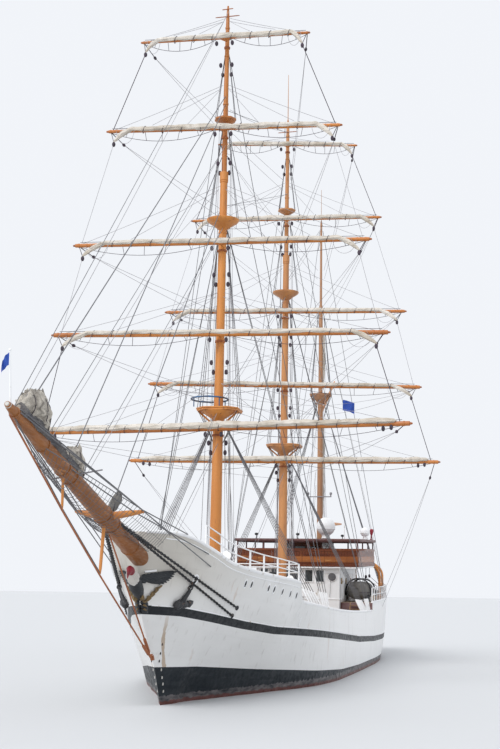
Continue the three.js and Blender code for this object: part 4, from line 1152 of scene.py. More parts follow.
def buildPropeller():
    x, y, z = propeller["centre"]
    hub = spar("hub", at(x + 0.35, y, z), at(x - 0.3, y, z),
               [(0, 0.16), (0.1, 0.2), (0.6, 0.2), (0.85, 0.14), (1, 0.04)], 20)
    blades = []
    for number in range(propeller["blades"]):
        turn = Matrix.Rotation(number * 2 * math.pi / propeller["blades"], 4, "X")
        rows = []
        for step in range(9):
            reach = mix(0.12, propeller["radius"], step / 8)
            wide = 0.26 * math.sin(math.pi * min(1, 0.22 + step / 8 * 0.76)) + 0.02
            pitch = math.radians(mix(60, 22, step / 8))
            ring = []
            for turnStep in range(13):
                angle = turnStep % 12 / 12 * 2 * math.pi
                across, thick = wide * math.cos(angle), 0.035 * (1.15 - step / 8) * math.sin(angle)
                ring.append(Vector((thick * math.cos(pitch) - across * math.sin(pitch),
                                    thick * math.sin(pitch) + across * math.cos(pitch), reach)) * modelScale)
            rows.append(ring)
        closeEnds(rows)
        blade = gridOver("blade", rows, wrap=True)
        blade.data.transform(Matrix.Translation(at(x, y, z)) @ turn)
        smooth(blade, 60)
        blades.append(blade)
    fit(join("propellerScrew", [hub] + blades), "bronze", "propeller", "bronze", ["propeller"])


buildRudder()
buildPropeller()
print("railings, rudder and propeller done")

# Bowsprit, its gear and the furled head sails

bowsprit = {"heel": (30.9, 6.19), "tip": (47.58, 11.11),
            "rows": [(0, 0.36), (0.012, 0.4), (0.35, 0.38), (0.7, 0.3), (0.93, 0.2), (0.99, 0.13), (1, 0.1)],
            "whiskerRoot": 37.0, "whiskerTip": (36.4, 1.43, 8.24)}


def onBowsprit(x, up=0.0, side=0.0):      # up is from the axis, straight up
    (heelX, heelZ), (tipX, tipZ) = bowsprit["heel"], bowsprit["tip"]
    return at(x, side, mix(heelZ, tipZ, (x - heelX) / (tipX - heelX)) + up)


def bowspritRadius(x):
    share = (x - bowsprit["heel"][0]) / (bowsprit["tip"][0] - bowsprit["heel"][0])
    return fromTable(bowsprit["rows"], share)


def buildBowsprit():
    heel, tip = onBowsprit(bowsprit["heel"][0]), onBowsprit(bowsprit["tip"][0])
    pieces = [spar("bowspritSpar", heel, tip, bowsprit["rows"], 32)]
    along = (tip - heel).normalized()
    for x in (33.5, 36.2, 37.3, 41.3, 42.1, 44.2, 46.9):
        radius = bowspritRadius(x) + 0.03
        centre = onBowsprit(x)
        reach = along * 0.05 * modelScale
        pieces.append(spar("hoop", centre - reach, centre + reach,
                           [(0, radius - 0.03), (0.1, radius), (0.9, radius), (1, radius - 0.03)], 28))
    fit(join("bowspritAndHoops", pieces), "bowspritPaint", replaces=["bowsprit"])
    cap = spar("bowspritCap", onBowsprit(47.1), onBowsprit(47.62),
               [(0, 0.13), (0.02, 0.15), (0.8, 0.115), (1, 0.06)], 20)
    fit(cap, "paleTip")
    pieces = []
    for side in (-1, 1):
        root = onBowsprit(bowsprit["whiskerRoot"])
        x, y, z = bowsprit["whiskerTip"]
        pieces.append(spar("whisker", root, at(x, side * y, z),
                           [(0, 0.15), (0.25, 0.16), (0.6, 0.13), (0.97, 0.07), (1, 0.05)], 20))
    pieces.append(spar("outerStriker", onBowsprit(42.0), at(42, 0, 8.0),
                       [(0, 0.055), (0.9, 0.048), (1, 0.03)], 16))
    pieces.append(spar("innerStriker", onBowsprit(37.0), at(37.4, 0, 5.75),
                       [(0, 0.075), (0.9, 0.062), (1, 0.04)], 16))
    fit(join("whiskersAndStrikers", pieces), "sparPaint")
    staff = spar("jackStaff", onBowsprit(47.3, 0.05), at(47.52, 0, 12.95),
                 [(0, 0.035), (0.96, 0.022), (0.965, 0.05), (0.99, 0.05), (1, 0.02)], 10)
    fit(staff, "houseWhite")


bobstays = [[(47.33, 0, 10.78), (42.0, 0, 7.98), (37.4, 0, 5.7), (29.8, 0, 2.14)],
            [(36.3, 0, 7.28), (29.8, 0, 2.14)]]


def buildBobstays():
    rods = [[at(*spot) for spot in run] for run in bobstays]
    screws = []
    for run in rods:
        start, end = run[-2], run[-1]
        away = (start - end).normalized()
        screws.append(spar("screw", end + away * 0.2, end + away * 0.75,
                           [(0, 0.04), (0.1, 0.07), (0.9, 0.07), (1, 0.04)], 12))
    fit(join("bobstayRods", [ropes("rods", rods, 0.036, 2)] + screws), "stayOrange", replaces=["bobstays"])


def chain(name, start, end, pitch=0.16, thick=0.022, sag=0.0):      # links turned in turn
    link = torus("link", pitch * 0.42, thick, 12, 6)
    link.data.transform(Matrix.Diagonal((1.55, 0.85, 1, 1)))
    count = max(2, round((end - start).length / (pitch * modelScale)))
    line = sagging(start, end, sag, count)
    links = []
    for index in range(count):
        middle, along = (line[index] + line[index + 1]) / 2, line[index + 1] - line[index]
        turn = along.to_track_quat("X", "Z").to_matrix().to_4x4()
        roll = Matrix.Rotation(index % 2 * math.pi / 2, 4, "X")
        links.append(copied(link, Matrix.Translation(middle) @ turn @ roll))
    bpy.data.objects.remove(link)
    return join(name, links)


def buildBowspritGuys():
    chains = []
    for side in (-1, 1):
        for startX, (x, z) in ((36.1, (24.95, 4.32)), (35.9, (25.1, 3.95))):
            foot, normal = onHull(x, z, 0.02, side)
            chains.append(chain("guy", onBowsprit(startX, 0.05, side * 0.36), foot))
            chains.append(ringRound("eye", foot, normal, 0.09, 0.03, 16))
    fit(join("bowspritChains", chains), "blackIron")
    wires = []
    for side in (-1, 1):
        x, y, z = bowsprit["whiskerTip"]
        tip = at(x, side * y, z)
        wires.append([onBowsprit(46.9, 0, side * 0.2), tip, onHull(28.4, 6.2, 0.02, side)[0]])
        wires.append([onBowsprit(42.0, 0, side * 0.3), at(36.6, side * 1.1, 8.2),
                      onHull(28.9, 6.75, 0.02, side)[0]])
        wires.append([onBowsprit(46.9, 0.1, side * 0.2), at(36.45, side * 1.38, 8.3),
                      at(30.6, side * 1.75, railHeight(30.6) + 0.1)])
    for foot in (onBowsprit(46.9, -0.15), onBowsprit(42.0, -0.25)):
        wires.append([foot, at(42, 0, 8.05), at(37.4, 0, 5.8)])
    fit(ropes("whiskerWires", wires, 0.024), "wireGrey")


net = {"outer": 44.6, "inner": 31.2, "rows": 44, "across": 9, "sag": 0.55}


def buildNet():      # the safety net slung under the bowsprit between the two outer wires
    x, y, z = bowsprit["whiskerTip"]
    edge = [(-net["outer"], 0.28, 9.95), (-x, y - 0.04, z + 0.05), (-net["inner"], 1.2, 7.45)]
    grid = []
    for index in range(net["rows"] + 1):
        along = mix(net["outer"], net["inner"], index / net["rows"])
        wide, high = (fromTable(edge, -along, column) for column in (1, 2))
        row = []
        for step in range(net["across"] + 1):
            share = step / net["across"] * 2 - 1
            drop = net["sag"] * (1 - share * share) * min(1, wide) + 0.38 * (1 - share * share)
            row.append(at(along, share * wide,
                          high - drop + 0.02 * (1 - abs(share)) * math.sin(index * 1.7 + step)))
        grid.append(row)
    lines = grid + [[row[step] for row in grid] for step in range(net["across"] + 1)]
    fit(ropes("bowspritNet", lines, 0.009, 0), "wireGrey", slot="canvas")
    top = [[row[end] for row in grid] for end in (0, -1)]
    fit(ropes("netEdges", top, 0.018), "wireGrey")


def foldedLoaf(name, rows, folds, depth, seed, around=40):      # a bundle of cloth with upright folds
    rings = []
    fine = []
    for first, second in zip(rows, rows[1:]):
        for step in range(6):
            fine.append([mix(a, b, step / 6) for a, b in zip(first, second)])
    fine.append(list(rows[-1]))
    for x, y, z, wide, high in fine:
        ring = []
        for step in range(around + 1):
            angle = step % around / around * 2 * math.pi
            fold = 1 + depth * math.sin(folds * angle + 2.2 * math.sin(angle * 2 + seed) + x * 4.5)
            crease = 1 + 0.2 * noise.noise(Vector((math.cos(angle) * 2.4, x * 3.2,
                                                   math.sin(angle) * 2.4 + seed * 5)))
            lump = noise.noise(Vector((x * 9, math.cos(angle) * 6, seed)))
            peak = 1 + 0.34 * max(0, math.sin(angle)) ** 3 * lump
            ring.append(at(x, y + wide * fold * crease * math.cos(angle),
                           z + high * crease * peak * math.sin(angle)))
        rings.append(ring)
    closeEnds(rings)
    piece = gridOver(name, rings, wrap=True)
    smooth(piece, 70)
    return piece


headSails = {
    "furled_outer_jib": {"head": (32.5, 0.15), "foot": 46.2, "tint": "stowedCanvas", "rows": [
        (43.5, 0.06, 0.0, 0.1), (43.8, 0.1, 0.0, 0.24), (44.1, 0.16, 0.0, 0.6), (44.25, 0.26, 0.0, 1.25),
        (44.5, 0.34, 0.0, 1.42), (44.9, 0.37, 0.0, 1.34), (45.4, 0.37, 0.0, 1.14), (45.9, 0.31, 0.0, 0.9),
        (46.3, 0.21, 0.02, 0.6), (46.6, 0.08, 0.05, 0.15)]},
    "furled_inner_jib": {"head": (32.0, 0.15), "foot": 41.5, "tint": "stowedCanvas", "rows": [
        (39.9, 0.08, 0.1, 0.3), (40.2, 0.2, 0.02, 0.85), (40.6, 0.27, 0.02, 1.02), (41.0, 0.28, 0.02, 0.8),
        (41.5, 0.24, 0.02, 0.62), (41.8, 0.14, 0.04, 0.44), (42.0, 0.06, 0.05, 0.15)]},
    "furled_staysail": {"head": (25.5, 0.92), "foot": 36.4, "tint": "coverGrey", "rows": [
        (34.9, 0.05, 1.1, 0.2), (35.2, 0.11, 0.75, 0.5), (35.7, 0.14, 0.3, 0.65), (36.2, 0.12, 0.02, 0.5),
        (36.5, 0.06, 0.05, 0.2)]},
}


def buildHeadSails():
    for number, (node, sail) in enumerate(headSails.items()):
        rows = []
        for x, wide, above, high in sail["rows"]:
            foot = onBowsprit(x).z / modelScale + bowspritRadius(x) * 1.04
            rows.append((x, 0, foot + above + high / 2, wide, high / 2))
        bundle = foldedLoaf(f"{node}Bundle", rows, 9, 0.17, number + 1.5, 56)
        fit(bundle, sail["tint"], slot="canvas")
        height, ahead = sail["head"]
        wire = [onMast("fore", height, ahead), onBowsprit(sail["foot"], bowspritRadius(sail["foot"]))]
        fit(ropes(f"{node}Stay", [wire], 0.024), "wireGrey", replaces=[node])
        lashings = []
        for lash, (x, y, z, wide, high) in enumerate(rows[1:-1:2]):
            lean = 0.1 * (-1) ** lash
            lashings.append([at(x + lean * math.sin(angle * math.pi / 8),
                                1.12 * wide * math.cos(angle * math.pi / 8),
                                z + 1.02 * high * math.sin(angle * math.pi / 8)) for angle in range(17)])
        fit(ropes(f"{node}Lashings", lashings, 0.014), "ropeDark")
    bag = []
    for x in alongDeck(41.2, 46.6, 0.2):
        wide = 0.23 + 0.05 * math.sin(x * 3.1)
        bag.append((x, 0.08, onBowsprit(x).z / modelScale + bowspritRadius(x) * 0.9 + 0.04, wide,
                    0.2 + 0.05 * math.sin(x * 5.3)))
    netBag = foldedLoaf("sailNetBag", bag, 11, 0.16, 4.2)
    fit(netBag, "netGrey", slot="canvas")
    bar = spar("headBar", at(41.9, -0.5, 9.1), at(39.4, 0.62, 9.65), [(0, 0.03), (1, 0.03)], 8)
    fit(bar, "ropePale")


# Figure of a bird under the bowsprit

bird = {
    "body": [(31.6, 0, 4.7, 0.05, 0.08), (31.75, 0, 4.82, 0.13, 0.16), (31.9, 0, 4.97, 0.2, 0.26),
             (32.1, 0, 5.12, 0.26, 0.34), (32.5, 0, 5.36, 0.3, 0.4), (32.8, 0, 5.6, 0.22, 0.28),
             (33.0, 0, 5.75, 0.17, 0.2)],
    "ruff": [(32.75, 0, 5.52, 0.2, 0.22), (32.9, 0, 5.62, 0.27, 0.27), (33.05, 0, 5.74, 0.27, 0.25),
             (33.2, 0, 5.84, 0.17, 0.15)],
    "head": [(33.05, 0, 5.78, 0.13, 0.16), (33.2, 0, 5.92, 0.17, 0.19), (33.38, 0, 5.97, 0.16, 0.17),
             (33.52, 0, 5.9, 0.09, 0.12), (33.64, 0, 5.76, 0.05, 0.08), (33.68, 0, 5.62, 0.02, 0.03)],
}


def feather(name, root, tip, wide, side):      # a flat blade that lies close along the plating
    rows = []
    for step in range(9):
        share = step / 8
        x, z = mix(root[0], tip[0], share), mix(root[1], tip[1], share)
        half = wide * math.sin(math.pi * min(1, 0.16 + share * 0.8)) ** 0.7 * 0.5 + 0.01
        along = Vector((tip[0] - root[0], 0, tip[1] - root[1])).normalized()
        across = Vector((-along.z, 0, along.x))
        ring = []
        for turn in range(9):
            angle = turn % 8 / 8 * 2 * math.pi
            spot = Vector((x, 0, z)) + across * half * math.cos(angle)
            out = root[2] * (1 - share) + tip[2] * share + 0.035 * math.sin(angle)
            ahead = Vector((max(spot.x - 32.0, 0), 0, 0)) * modelScale
            ring.append(onHull(min(spot.x, 32.0), spot.z, out, side)[0] + ahead)
        rows.append(ring)
    closeEnds(rows)
    piece = gridOver(name, rows, wrap=True)
    smooth(piece, 60)
    return piece


def buildBird():
    body = [loafOf("body", bird["body"], 24)]
    for side in (-1, 1):
        tips = [(30.66, 5.93), (30.72, 5.84), (30.74, 5.74), (30.8, 5.65), (30.88, 5.57), (30.97, 5.49),
                (31.06, 5.42), (31.24, 5.4), (31.42, 5.42)]
        for number, (x, z) in enumerate(tips):
            root = (mix(31.5, 31.95, number / 8), mix(5.86, 5.6, number / 8), 0.05 + 0.012 * (number % 3))
            body.append(feather("flight", root, (x, z, 0.05 + 0.012 * (number % 3)), 0.13, side))
        for number in range(7):
            x = mix(31.25, 32.0, number / 6)
            body.append(feather("cover", (x + 0.3, mix(5.86, 5.72, number / 6), 0.1),
                                (x - 0.12, mix(5.78, 5.45, number / 6), 0.1), 0.18, side))
    smooth(body[0], 60)
    fit(join("birdFigure", body), "birdBlack", replaces=["figurehead"])
    ruff = foldedLoaf("birdRuff", bird["ruff"], 13, 0.12, 2.0, 52)
    fit(ruff, "paleTip")
    head = loafOf("birdHead", bird["head"], 20)
    smooth(head, 60)
    fit(head, "birdRed", slot="black_iron")
    claws = []
    for side in (-1, 1):
        claws.append(feather("branch", (31.66, 4.6, 0.06), (31.26, 5.28, 0.05), 0.09, side))
        for number in range(7):
            x, z = mix(31.62, 31.3, number / 6), mix(4.66, 5.2, number / 6)
            claws.append(feather("leaf", (x, z, 0.08),
                                 (x - 0.16 + 0.2 * (number % 2), z + 0.16, 0.09), 0.1, side))
        for number in range(3):
            claws.append(feather("claw", (31.86, 4.98, 0.1), (31.72 + 0.06 * number, 4.74, 0.12), 0.06, side))
        for number in range(3):
            foot = at(31.98 + 0.03 * number, side * (0.07 + 0.05 * number), 4.93)
            claws.append(spar("toe", foot, foot + at(0.02, side * 0.03, -0.26),
                              [(0, 0.05), (0.5, 0.045), (1, 0.012)], 8))
    fit(join("birdBranch", claws), "clawGold")
    boards, scrolls, mouldings = [], [], []
    for side in (-1, 1):
        for number in range(3):
            x = 31.75 - number * 0.08
            boards.append(feather("board", (x, 4.66 - number * 0.17, 0.05),
                                  (x - 0.3, 4.5 - number * 0.17, 0.04), 0.17, side))
            scrolls.append(feather("scroll", (x - 0.02, 4.7 - number * 0.17, 0.09),
                                   (x - 0.16, 4.62 - number * 0.17, 0.08), 0.045, side))
        mouldings.append([onHull(x, mix(5.92, 6.0, (31.95 - x) / 0.55), 0.05, side)[0]
                          for x in (31.98, 31.9, 31.8, 31.7, 31.6)])
    fit(join("trailBoards", boards), "birdBlack")
    fit(join("trailScrolls", scrolls), "clawGold")
    fit(ropes("wingMoulding", mouldings, 0.05, 3), "houseWhite")


# Anchors

anchor = {"top": (29.45, 5.2), "crown": (29.72, 4.62), "hawse": (29.2, 5.62), "out": 0.14,
          "flukes": ((30.0, 4.42, 30.02, 4.78), (29.3, 4.52, 28.98, 4.72))}


def buildAnchor(side, name, node):
    out = anchor["out"]
    top, crown = (onHull(*anchor[key], out, side)[0] for key in ("top", "crown"))
    pieces = [spar("shank", top, crown, [(0, 0.06), (0.08, 0.085), (0.9, 0.12), (1, 0.1)], 12)]
    for rootX, rootZ, tipX, tipZ in anchor["flukes"]:
        root, tip = onHull(rootX, rootZ, out, side)[0], onHull(tipX, tipZ, out + 0.04, side)[0]
        pieces.append(spar("arm", crown, root, [(0, 0.17), (0.3, 0.19), (0.8, 0.15), (1, 0.1)], 10))
        pieces.append(spar("fluke", root, tip, [(0, 0.1), (0.3, 0.17), (0.7, 0.12), (1, 0.02)], 8))
    pieces.append(ringRound("shackle", top + rise(0.04), (top - crown).cross(axisY), 0.1, 0.03, 16))
    hawse, normal = onHull(*anchor["hawse"], 0.02, side)
    pieces.append(chain("cable", top, hawse, 0.2, 0.032))
    pipe = ringRound("hawsePipe", hawse, normal, 0.19, 0.05, 24)
    fit(join(name, pieces), "blackIron", replaces=[node])
    fit(pipe, "houseWhite")
    pipe.name = pipe.data.name = f"{name}HawsePipe"


buildBowsprit()
buildBobstays()
buildBowspritGuys()
buildNet()
buildHeadSails()
buildBird()
buildAnchor(1, "portAnchor", "anchor_port")
buildAnchor(-1, "starboardAnchor", "anchor_starboard")
print("bowsprit, figure and anchors done")

# Standing rigging

wires = {"thick": 0.018, "thin": 0.011, "ratline": 0.007, "ratlineStep": 0.5}
shroudSets = {
    "fore": {"feet": (17.2, 16.5, 15.8, 15.1, 14.4), "head": 14.1, "capHead": 24.9},
    "main": {"feet": (-2.4, -3.1, -3.8, -4.6, -5.4), "head": 14.1, "capHead": 24.95},
    "mizzen": {"feet": (-18.6, -19.3, -20.0, -20.7, -21.4), "head": 19.7, "capHead": 27.2},
}
backstays = {
    "fore": [(25.1, 13.7), (25.2, 13.1), (30.8, 12.5), (35.0, 11.9)],
    "main": [(25.1, -5.9), (25.2, -6.4), (30.8, -6.9), (35.0, -7.4)],
    "mizzen": [(27.3, -22.3), (33.8, -23.0)],
}


def overRail(x, side, inset=0.12):
    return at(x, side * (hullSide(x, railHeight(x)) - inset), railHeight(x) + 0.06)


def partWay(line, height):      # the place on a straight line at that height in the world
    start, end = line
    share = (height - start.z) / (end.z - start.z)
    return start.lerp(end, min(max(share, 0), 1))


def ratlinesOn(lines, low, high):
    rungs = []
    height = low
    while height < high:
        rungs.append([partWay(line, height * modelScale) for line in lines])
        height += wires["ratlineStep"]
    return rungs


def riggingScrew(foot, head):      # at the foot of a shroud or backstay
    away = (head - foot).normalized()
    return spar("screw", foot, foot + away * 0.42, [(0, 0.03), (0.1, 0.055), (0.9, 0.055), (1, 0.03)], 8)


def buildShrouds(mastName):
    mast, sets = masts[mastName], shroudSets[mastName]
    thick, rungs, upperRungs, screws = [], [], [], []
    for side in (-1, 1):
        lower = []
        for number, x in enumerate(sets["feet"]):
            foot = overRail(x, side)
            lower.append((onMast(mastName, sets["head"], -0.05 * number, side * 0.27), foot))
            screws.append(riggingScrew(foot, lower[-1][0]))
        thick += lower
        rungs += ratlinesOn(lower, lower[0][1].z / modelScale + 1.0, sets["head"] - 1.2)
        rim = mast["topHalf"]
        futtocks = [(onMast(mastName, mast["top"] - 1.7, -0.1, side * 0.26),
                     onMast(mastName, mast["top"] + 0.13, shift * rim, side * rim))
                    for shift in (0.2, -0.3, -0.75)]
        thick += futtocks
        upper = [(onMast(mastName, sets["capHead"], -0.06, side * 0.2), futtock[1]) for futtock in futtocks]
        thick += upper
        upperRungs += ratlinesOn(upper, mast["top"] + 1.0, sets["capHead"] - 1.0)
        if "trees" in mast:
            trees = mast["crosstrees"]
            gallant = [(onMast(mastName, mast["trees"] - 0.3, -0.05, side * 0.14),
                        onMast(mastName, trees + 0.04, shift, side * 0.82)) for shift in (0.15, -0.3)]
            thick += gallant
            upperRungs += ratlinesOn(gallant, trees + 0.9, mast["trees"] - 1.0)
            royal = [(onMast(mastName, 35.1, -0.03, side * 0.11),
                      onMast(mastName, mast["trees"] + 0.05, shift, side * 0.56))
                     for shift in (0.1, -0.22)]
            thick += royal
            upperRungs += ratlinesOn(royal, mast["trees"] + 0.7, 34.6)
    fit(ropes(f"{mastName}Shrouds", thick, wires["thick"]), "wireGrey")
    fit(ropes(f"{mastName}Ratlines", rungs + upperRungs, wires["ratline"], 0), "wireGrey")
    stays = []
    for side in (-1, 1):
        for height, x in backstays[mastName]:
            foot = overRail(x, side)
            head = onMast(mastName, height, -0.1, side * 0.12)
            stays.append([head, foot])
            screws.append(riggingScrew(foot, head))
    fit(ropes(f"{mastName}Backstays", stays, wires["thick"]), "wireGrey")
    fit(join(f"{mastName}RiggingScrews", screws), "houseWhite")


mastStays = [
    ("fore", 37.55, onBowsprit(46.95, 0.2)), ("fore", 12.9, at(29.3, 0, 6.2)),
    ("fore", 14.8, at(30.6, 0, 6.75)),
    ("fore", 24.9, onBowsprit(40.2, 0.3)), ("fore", 29.6, onBowsprit(44.0, 0.25)),
    ("main", 36.9, onMast("fore", 31.8, -0.14)), ("main", 32.4, onMast("fore", 26.2, -0.2)),
    ("main", 25.1, onMast("fore", 15.1, -0.25)), ("main", 12.9, at(16.2, 0, deckHeight(16.2) + 0.03)),
    ("mizzen", 34.0, onMast("main", 26.2, -0.2)), ("mizzen", 20.1, onMast("main", 15.1, -0.25)),
    ("mizzen", 27.0, onMast("main", 20.5, -0.22)), ("mizzen", 19.4, at(-7.0, 0, 8.7)),
]


def buildStays():
    lines = [[onMast(mastName, height), foot] for mastName, height, foot in mastStays]
    fit(ropes("mastStays", lines, wires["thick"] * 0.8), "wireGrey")
    thin = []
    for mastName, height, foot in mastStays:
        head = onMast(mastName, height, 0.2, 0.08)
        thin.append(sagging(head, foot + Vector((-0.25, 0.05, 0.1)), 0.25))
    fit(ropes("halyardsOnStays", thin, wires["thin"]), "ropePale")


# deck height, and how far the feet stand ahead of the mast: clear of the yards, the boom and the gaff
falls = {"fore": (4.2, -1.5, -0.35), "main": (3.5, -1.5, -0.35), "mizzen": (5.4, 0.45, 1.3)}
fallHeads = (13.2, 14.2, 14.4, 20.5, 24.6, 25.0, 29.8, 31.0)


def buildFalls():      # the running lines that come down beside each mast to the deck
    chooser = random.Random(11)
    dark, pale = [], []
    for mastName, mast in masts.items():
        deck, low, high = falls[mastName]
        ahead = 0.2 if mastName == "mizzen" else -0.15
        for number, height in enumerate(fallHeads[:5] if mastName == "mizzen" else fallHeads):
            for side in (-1, 1):
                foot = at(mast["x"] + chooser.uniform(low, high), side * chooser.uniform(0.45, 0.95), deck)
                head = onMast(mastName, height, ahead, side * chooser.uniform(0.25, 0.42))
                (dark if number % 3 == 0 else pale).append([head, foot])
    fit(ropes("paleFalls", pale, wires["thin"]), "ropePale")
    fit(ropes("darkFalls", dark, wires["thin"]), "ropeDark")


# Gear of the yards

gear = {"footropeSag": 0.55, "stirrups": 5, "pendant": 1.35, "block": 0.13}
braceLeads = {
    "fore": {"course": ("main", 13.2), "lower_topsail": ("main", 16.8), "upper_topsail": ("main", 22.2),
             "topgallant": ("main", 28.6), "royal": ("main", 33.4)},
    "main": {"course": (-15.5, None), "lower_topsail": ("mizzen", 19.5), "upper_topsail": ("mizzen", 23.0),
             "topgallant": ("mizzen", 26.6), "royal": ("mizzen", 30.5)},
}
liftHeads = {"course": 16.4, "lower_topsail": 21.2, "upper_topsail": 27.3, "topgallant": 33.2,
             "royal": {"fore": 37.2, "main": 36.5}}
bpy.ops.mesh.primitive_uv_sphere_add(segments=12, ring_count=8, radius=gear["block"] * modelScale)
pulley = named("pulleyPattern")
pulley.data.transform(Matrix.Diagonal((0.55, 0.8, 1.15, 1)))
bpy.ops.object.mode_set(mode="EDIT")
bpy.ops.mesh.select_all(action="SELECT")
bpy.ops.mesh.bisect(plane_co=(0, 0, 0), plane_no=(1, 0, 0))
bpy.ops.transform.resize(value=(1.0, 0.75, 0.8))
bpy.ops.object.mode_set(mode="OBJECT")
bpy.ops.object.shade_smooth()
deselect()


def pulleysAt(name, spots):      # each spot is a place and the way that the block hangs
    return join(name, [copied(pulley, facing(spot, along)) for spot, along in spots])


def buildMastBlocks():      # pairs of blocks that hang beside the masts
    for mastName in ("fore", "main"):
        spots = []
        for height in (12.9, 17.3, 22.2, 28.6, 34.4):
            for side in (-1, 1):
                beside = mastRadius(mastName, height)
                spots.append((onMast(mastName, height, 0.1, side * (beside + 0.2)), axisZ))
                spots.append((onMast(mastName, height - 0.5, -0.1, side * (beside + 0.12)), axisZ))
        fit(pulleysAt(f"{mastName}MastBlocks", spots), "ropeDark")


def buildYardGear(mastName, yardName):
    yard = yards[yardName]
    body = f"{mastName}_{yardName}"
    on = partial(onYard, mastName, yardName)
    half = yard["half"][mastName]
    head = liftHeads[yardName][mastName] if yardName == "royal" else liftHeads[yardName]
    thin, dark, pale, spots = [], [], [], []
    for side in (-1, 1):
        outer = on(side * half * 0.965, -0.05, -0.05)
        inner = on(side * 0.5, -0.1, -0.05)
        rope = sagging(outer, inner, gear["footropeSag"], 20)
        thin.append(rope)
        for step in range(1, gear["stirrups"] + 1):
            share = step / (gear["stirrups"] + 1)
            low = rope[round(share * 20)]
            thin.append([low, on(side * mix(half * 0.965, 0.5, share), -yard["radius"] * 0.8, 0)])
        arm = on(side * half * 0.965)
        above = onMast(mastName, head, 0.1, side * 0.15)
        pale.append(sagging(arm, above, 0.05))
        if yard["droop"]:
            clew = on(side * half * 0.92, furl["clewAhead"], -yard["droop"] - 0.05)
            loop = []
            for step in range(13):
                angle = step / 12 * math.pi
                loop.append(on(side * half * (0.9 - 0.075 * (1 - math.cos(angle))), furl["clewAhead"],
                               -0.1 - 0.75 * math.sin(angle)))
            pale.append(loop)
            spots.append((clew + rise(-0.05), axisZ))
            pale.append([on(side * half * 0.86, 0.2, 0.05), clew])
            dark.append([clew, on(side * half * 0.955, 0.02, -0.1)])
        else:
            clew = on(side * half * 0.9, 0.15, -0.2)
            spots += [(clew, axisZ), (on(side * half * 0.86, 0.1, -0.25), axisZ)]
        for share in (0.3, 0.6):
            foot = on(side * half * share, 0.15, 0.25)
            pale.append(sagging(foot, onMast(mastName, head - 0.3, 0.35, side * 0.2), 0.02))
        spots.append((on(side * 0.45, 0, -0.32), axisZ))
    thin.append([on(share * half, 0.02, yard["radius"] + 0.05) for share in (-0.95, -0.5, 0, 0.5, 0.95)])
    fit(ropes(f"{body}Footropes", thin, 0.014), "ropeDark", body)
    fit(ropes(f"{body}Lifts", pale, wires["thin"]), "ropePale", body)
    pieces = [pulleysAt("pulleys", spots)]
    if dark:
        pieces.append(ropes("clewGear", dark, 0.02))
    fit(join(f"{body}Blocks", pieces), "ropeDark", body)
    buildBraces(mastName, yardName)


def buildBraces(mastName, yardName):
    body = f"{mastName}_{yardName}"
    on = partial(onYard, mastName, yardName)
    half = yards[yardName]["half"][mastName]
    target, height = braceLeads[mastName][yardName]
    for side, tag in ((1, "Port"), (-1, "Starboard")):
        arm = on(side * half * 0.965, -0.06)
        end = overRail(target, side) if height is None else onMast(target, height, 0.1, side * 0.25)
        away = (end - arm).normalized()
        hook = arm + away * gear["pendant"] * modelScale + rise(-0.12)
        lead = [sagging(hook, end, 0.12, 24), sagging(hook, end + Vector((0, 0.02 * side, -0.35)), 0.3, 24)]
        brace = ropes(f"{body}{tag}Brace", lead, wires["thin"])
        brace.data.materials.clear()
        brace.data.materials.append(materials["ropePale"])
        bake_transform(brace)
        pendant = join(f"{body}{tag}Pendant", [ropes("pendant", [[arm, hook]], 0.024),
                                               pulleysAt("pulley", [(hook, away)])])
        fit(pendant, "ropeDark", body)


def buildSheets():      # from each clew to the yardarm below
    order = list(yards)
    for mastName in ("fore", "main"):
        for below, above in zip(order, order[1:]):
            lines = []
            for side in (-1, 1):
                clew = onYard(mastName, above, side * yards[above]["half"][mastName] * 0.92,
                              furl["clewAhead"],
                              -yards[above]["droop"] - 0.1)
                arm = onYard(mastName, below, side * yards[below]["half"][mastName] * 0.94, 0, 0.1)
                lines.append([clew, arm])
            body = f"{mastName}_{above}"
            heavy = above in ("lower_topsail", "royal")
            thick, finish = (0.022, "ropeDark") if heavy else (wires["thin"], "ropePale")
            fit(ropes(f"{body}Sheets", lines, thick), finish, body)


for mastName in masts:
    buildShrouds(mastName)
buildStays()
buildFalls()
for mastName in ("fore", "main"):
    for yardName in yards:
        buildYardGear(mastName, yardName)
buildSheets()
buildMastBlocks()
print("rigging done")

# Houses and bridge

house = {"half": 3.0, "front": -7.7, "aft": -16.4, "poopBreak": -8.1, "mouldings": (0.06, 1.9),
         "doors": (-9.6, -12.2, -14.8), "portholes": (-8.6, -10.9, -13.5, -15.8),
         "frontWindows": (-2.4, -1.61, 0.82, 1.61), "lifeRings": ((-2.75, 5.1), (-2.75, 5.9)),
         "reel": (2.47, 6.02)}
bridge = {"front": -7.2, "aft": -16.6, "half": 4.4, "slope": 0.025, "deck": 6.6, "roof": 8.68,
          "bulwark": 1.35,
          "slab": 0.12, "wall": 0.08, "board": 0.2, "cap": 1.32, "sidePosts": (-10.3, -13.5), "beams": 12,
          "endPosts": (-2.4, -0.8, 0.8, 2.4),
          "bands": ((0.13, 0.24, 0.05), (0.42, 0.84, 0.03), (1.2, 1.3, 0.04))}
wheelhouse = {"front": -8.6, "aft": -14.4, "half": 1.6, "windowBottom": 0.85, "windowHeight": 0.6,
              "sideWindows": (-9.6, -11.1, -12.6, -13.7), "frontWindows": (-1.0, 0, 1.0),
              "screens": (-1.0, 1.0),
              "skirt": {"low": 0.02, "high": 0.75, "thick": 0.05, "wide": 0.16}}


def bridgeDeck(x):
    return bridge["deck"] + (bridge["front"] - x) * bridge["slope"]


def bridgeFloor(x):
    return bridgeDeck(x) + bridge["slab"]


def roofTop(x):
    return bridge["roof"] + (bridge["front"] - x) * bridge["slope"]


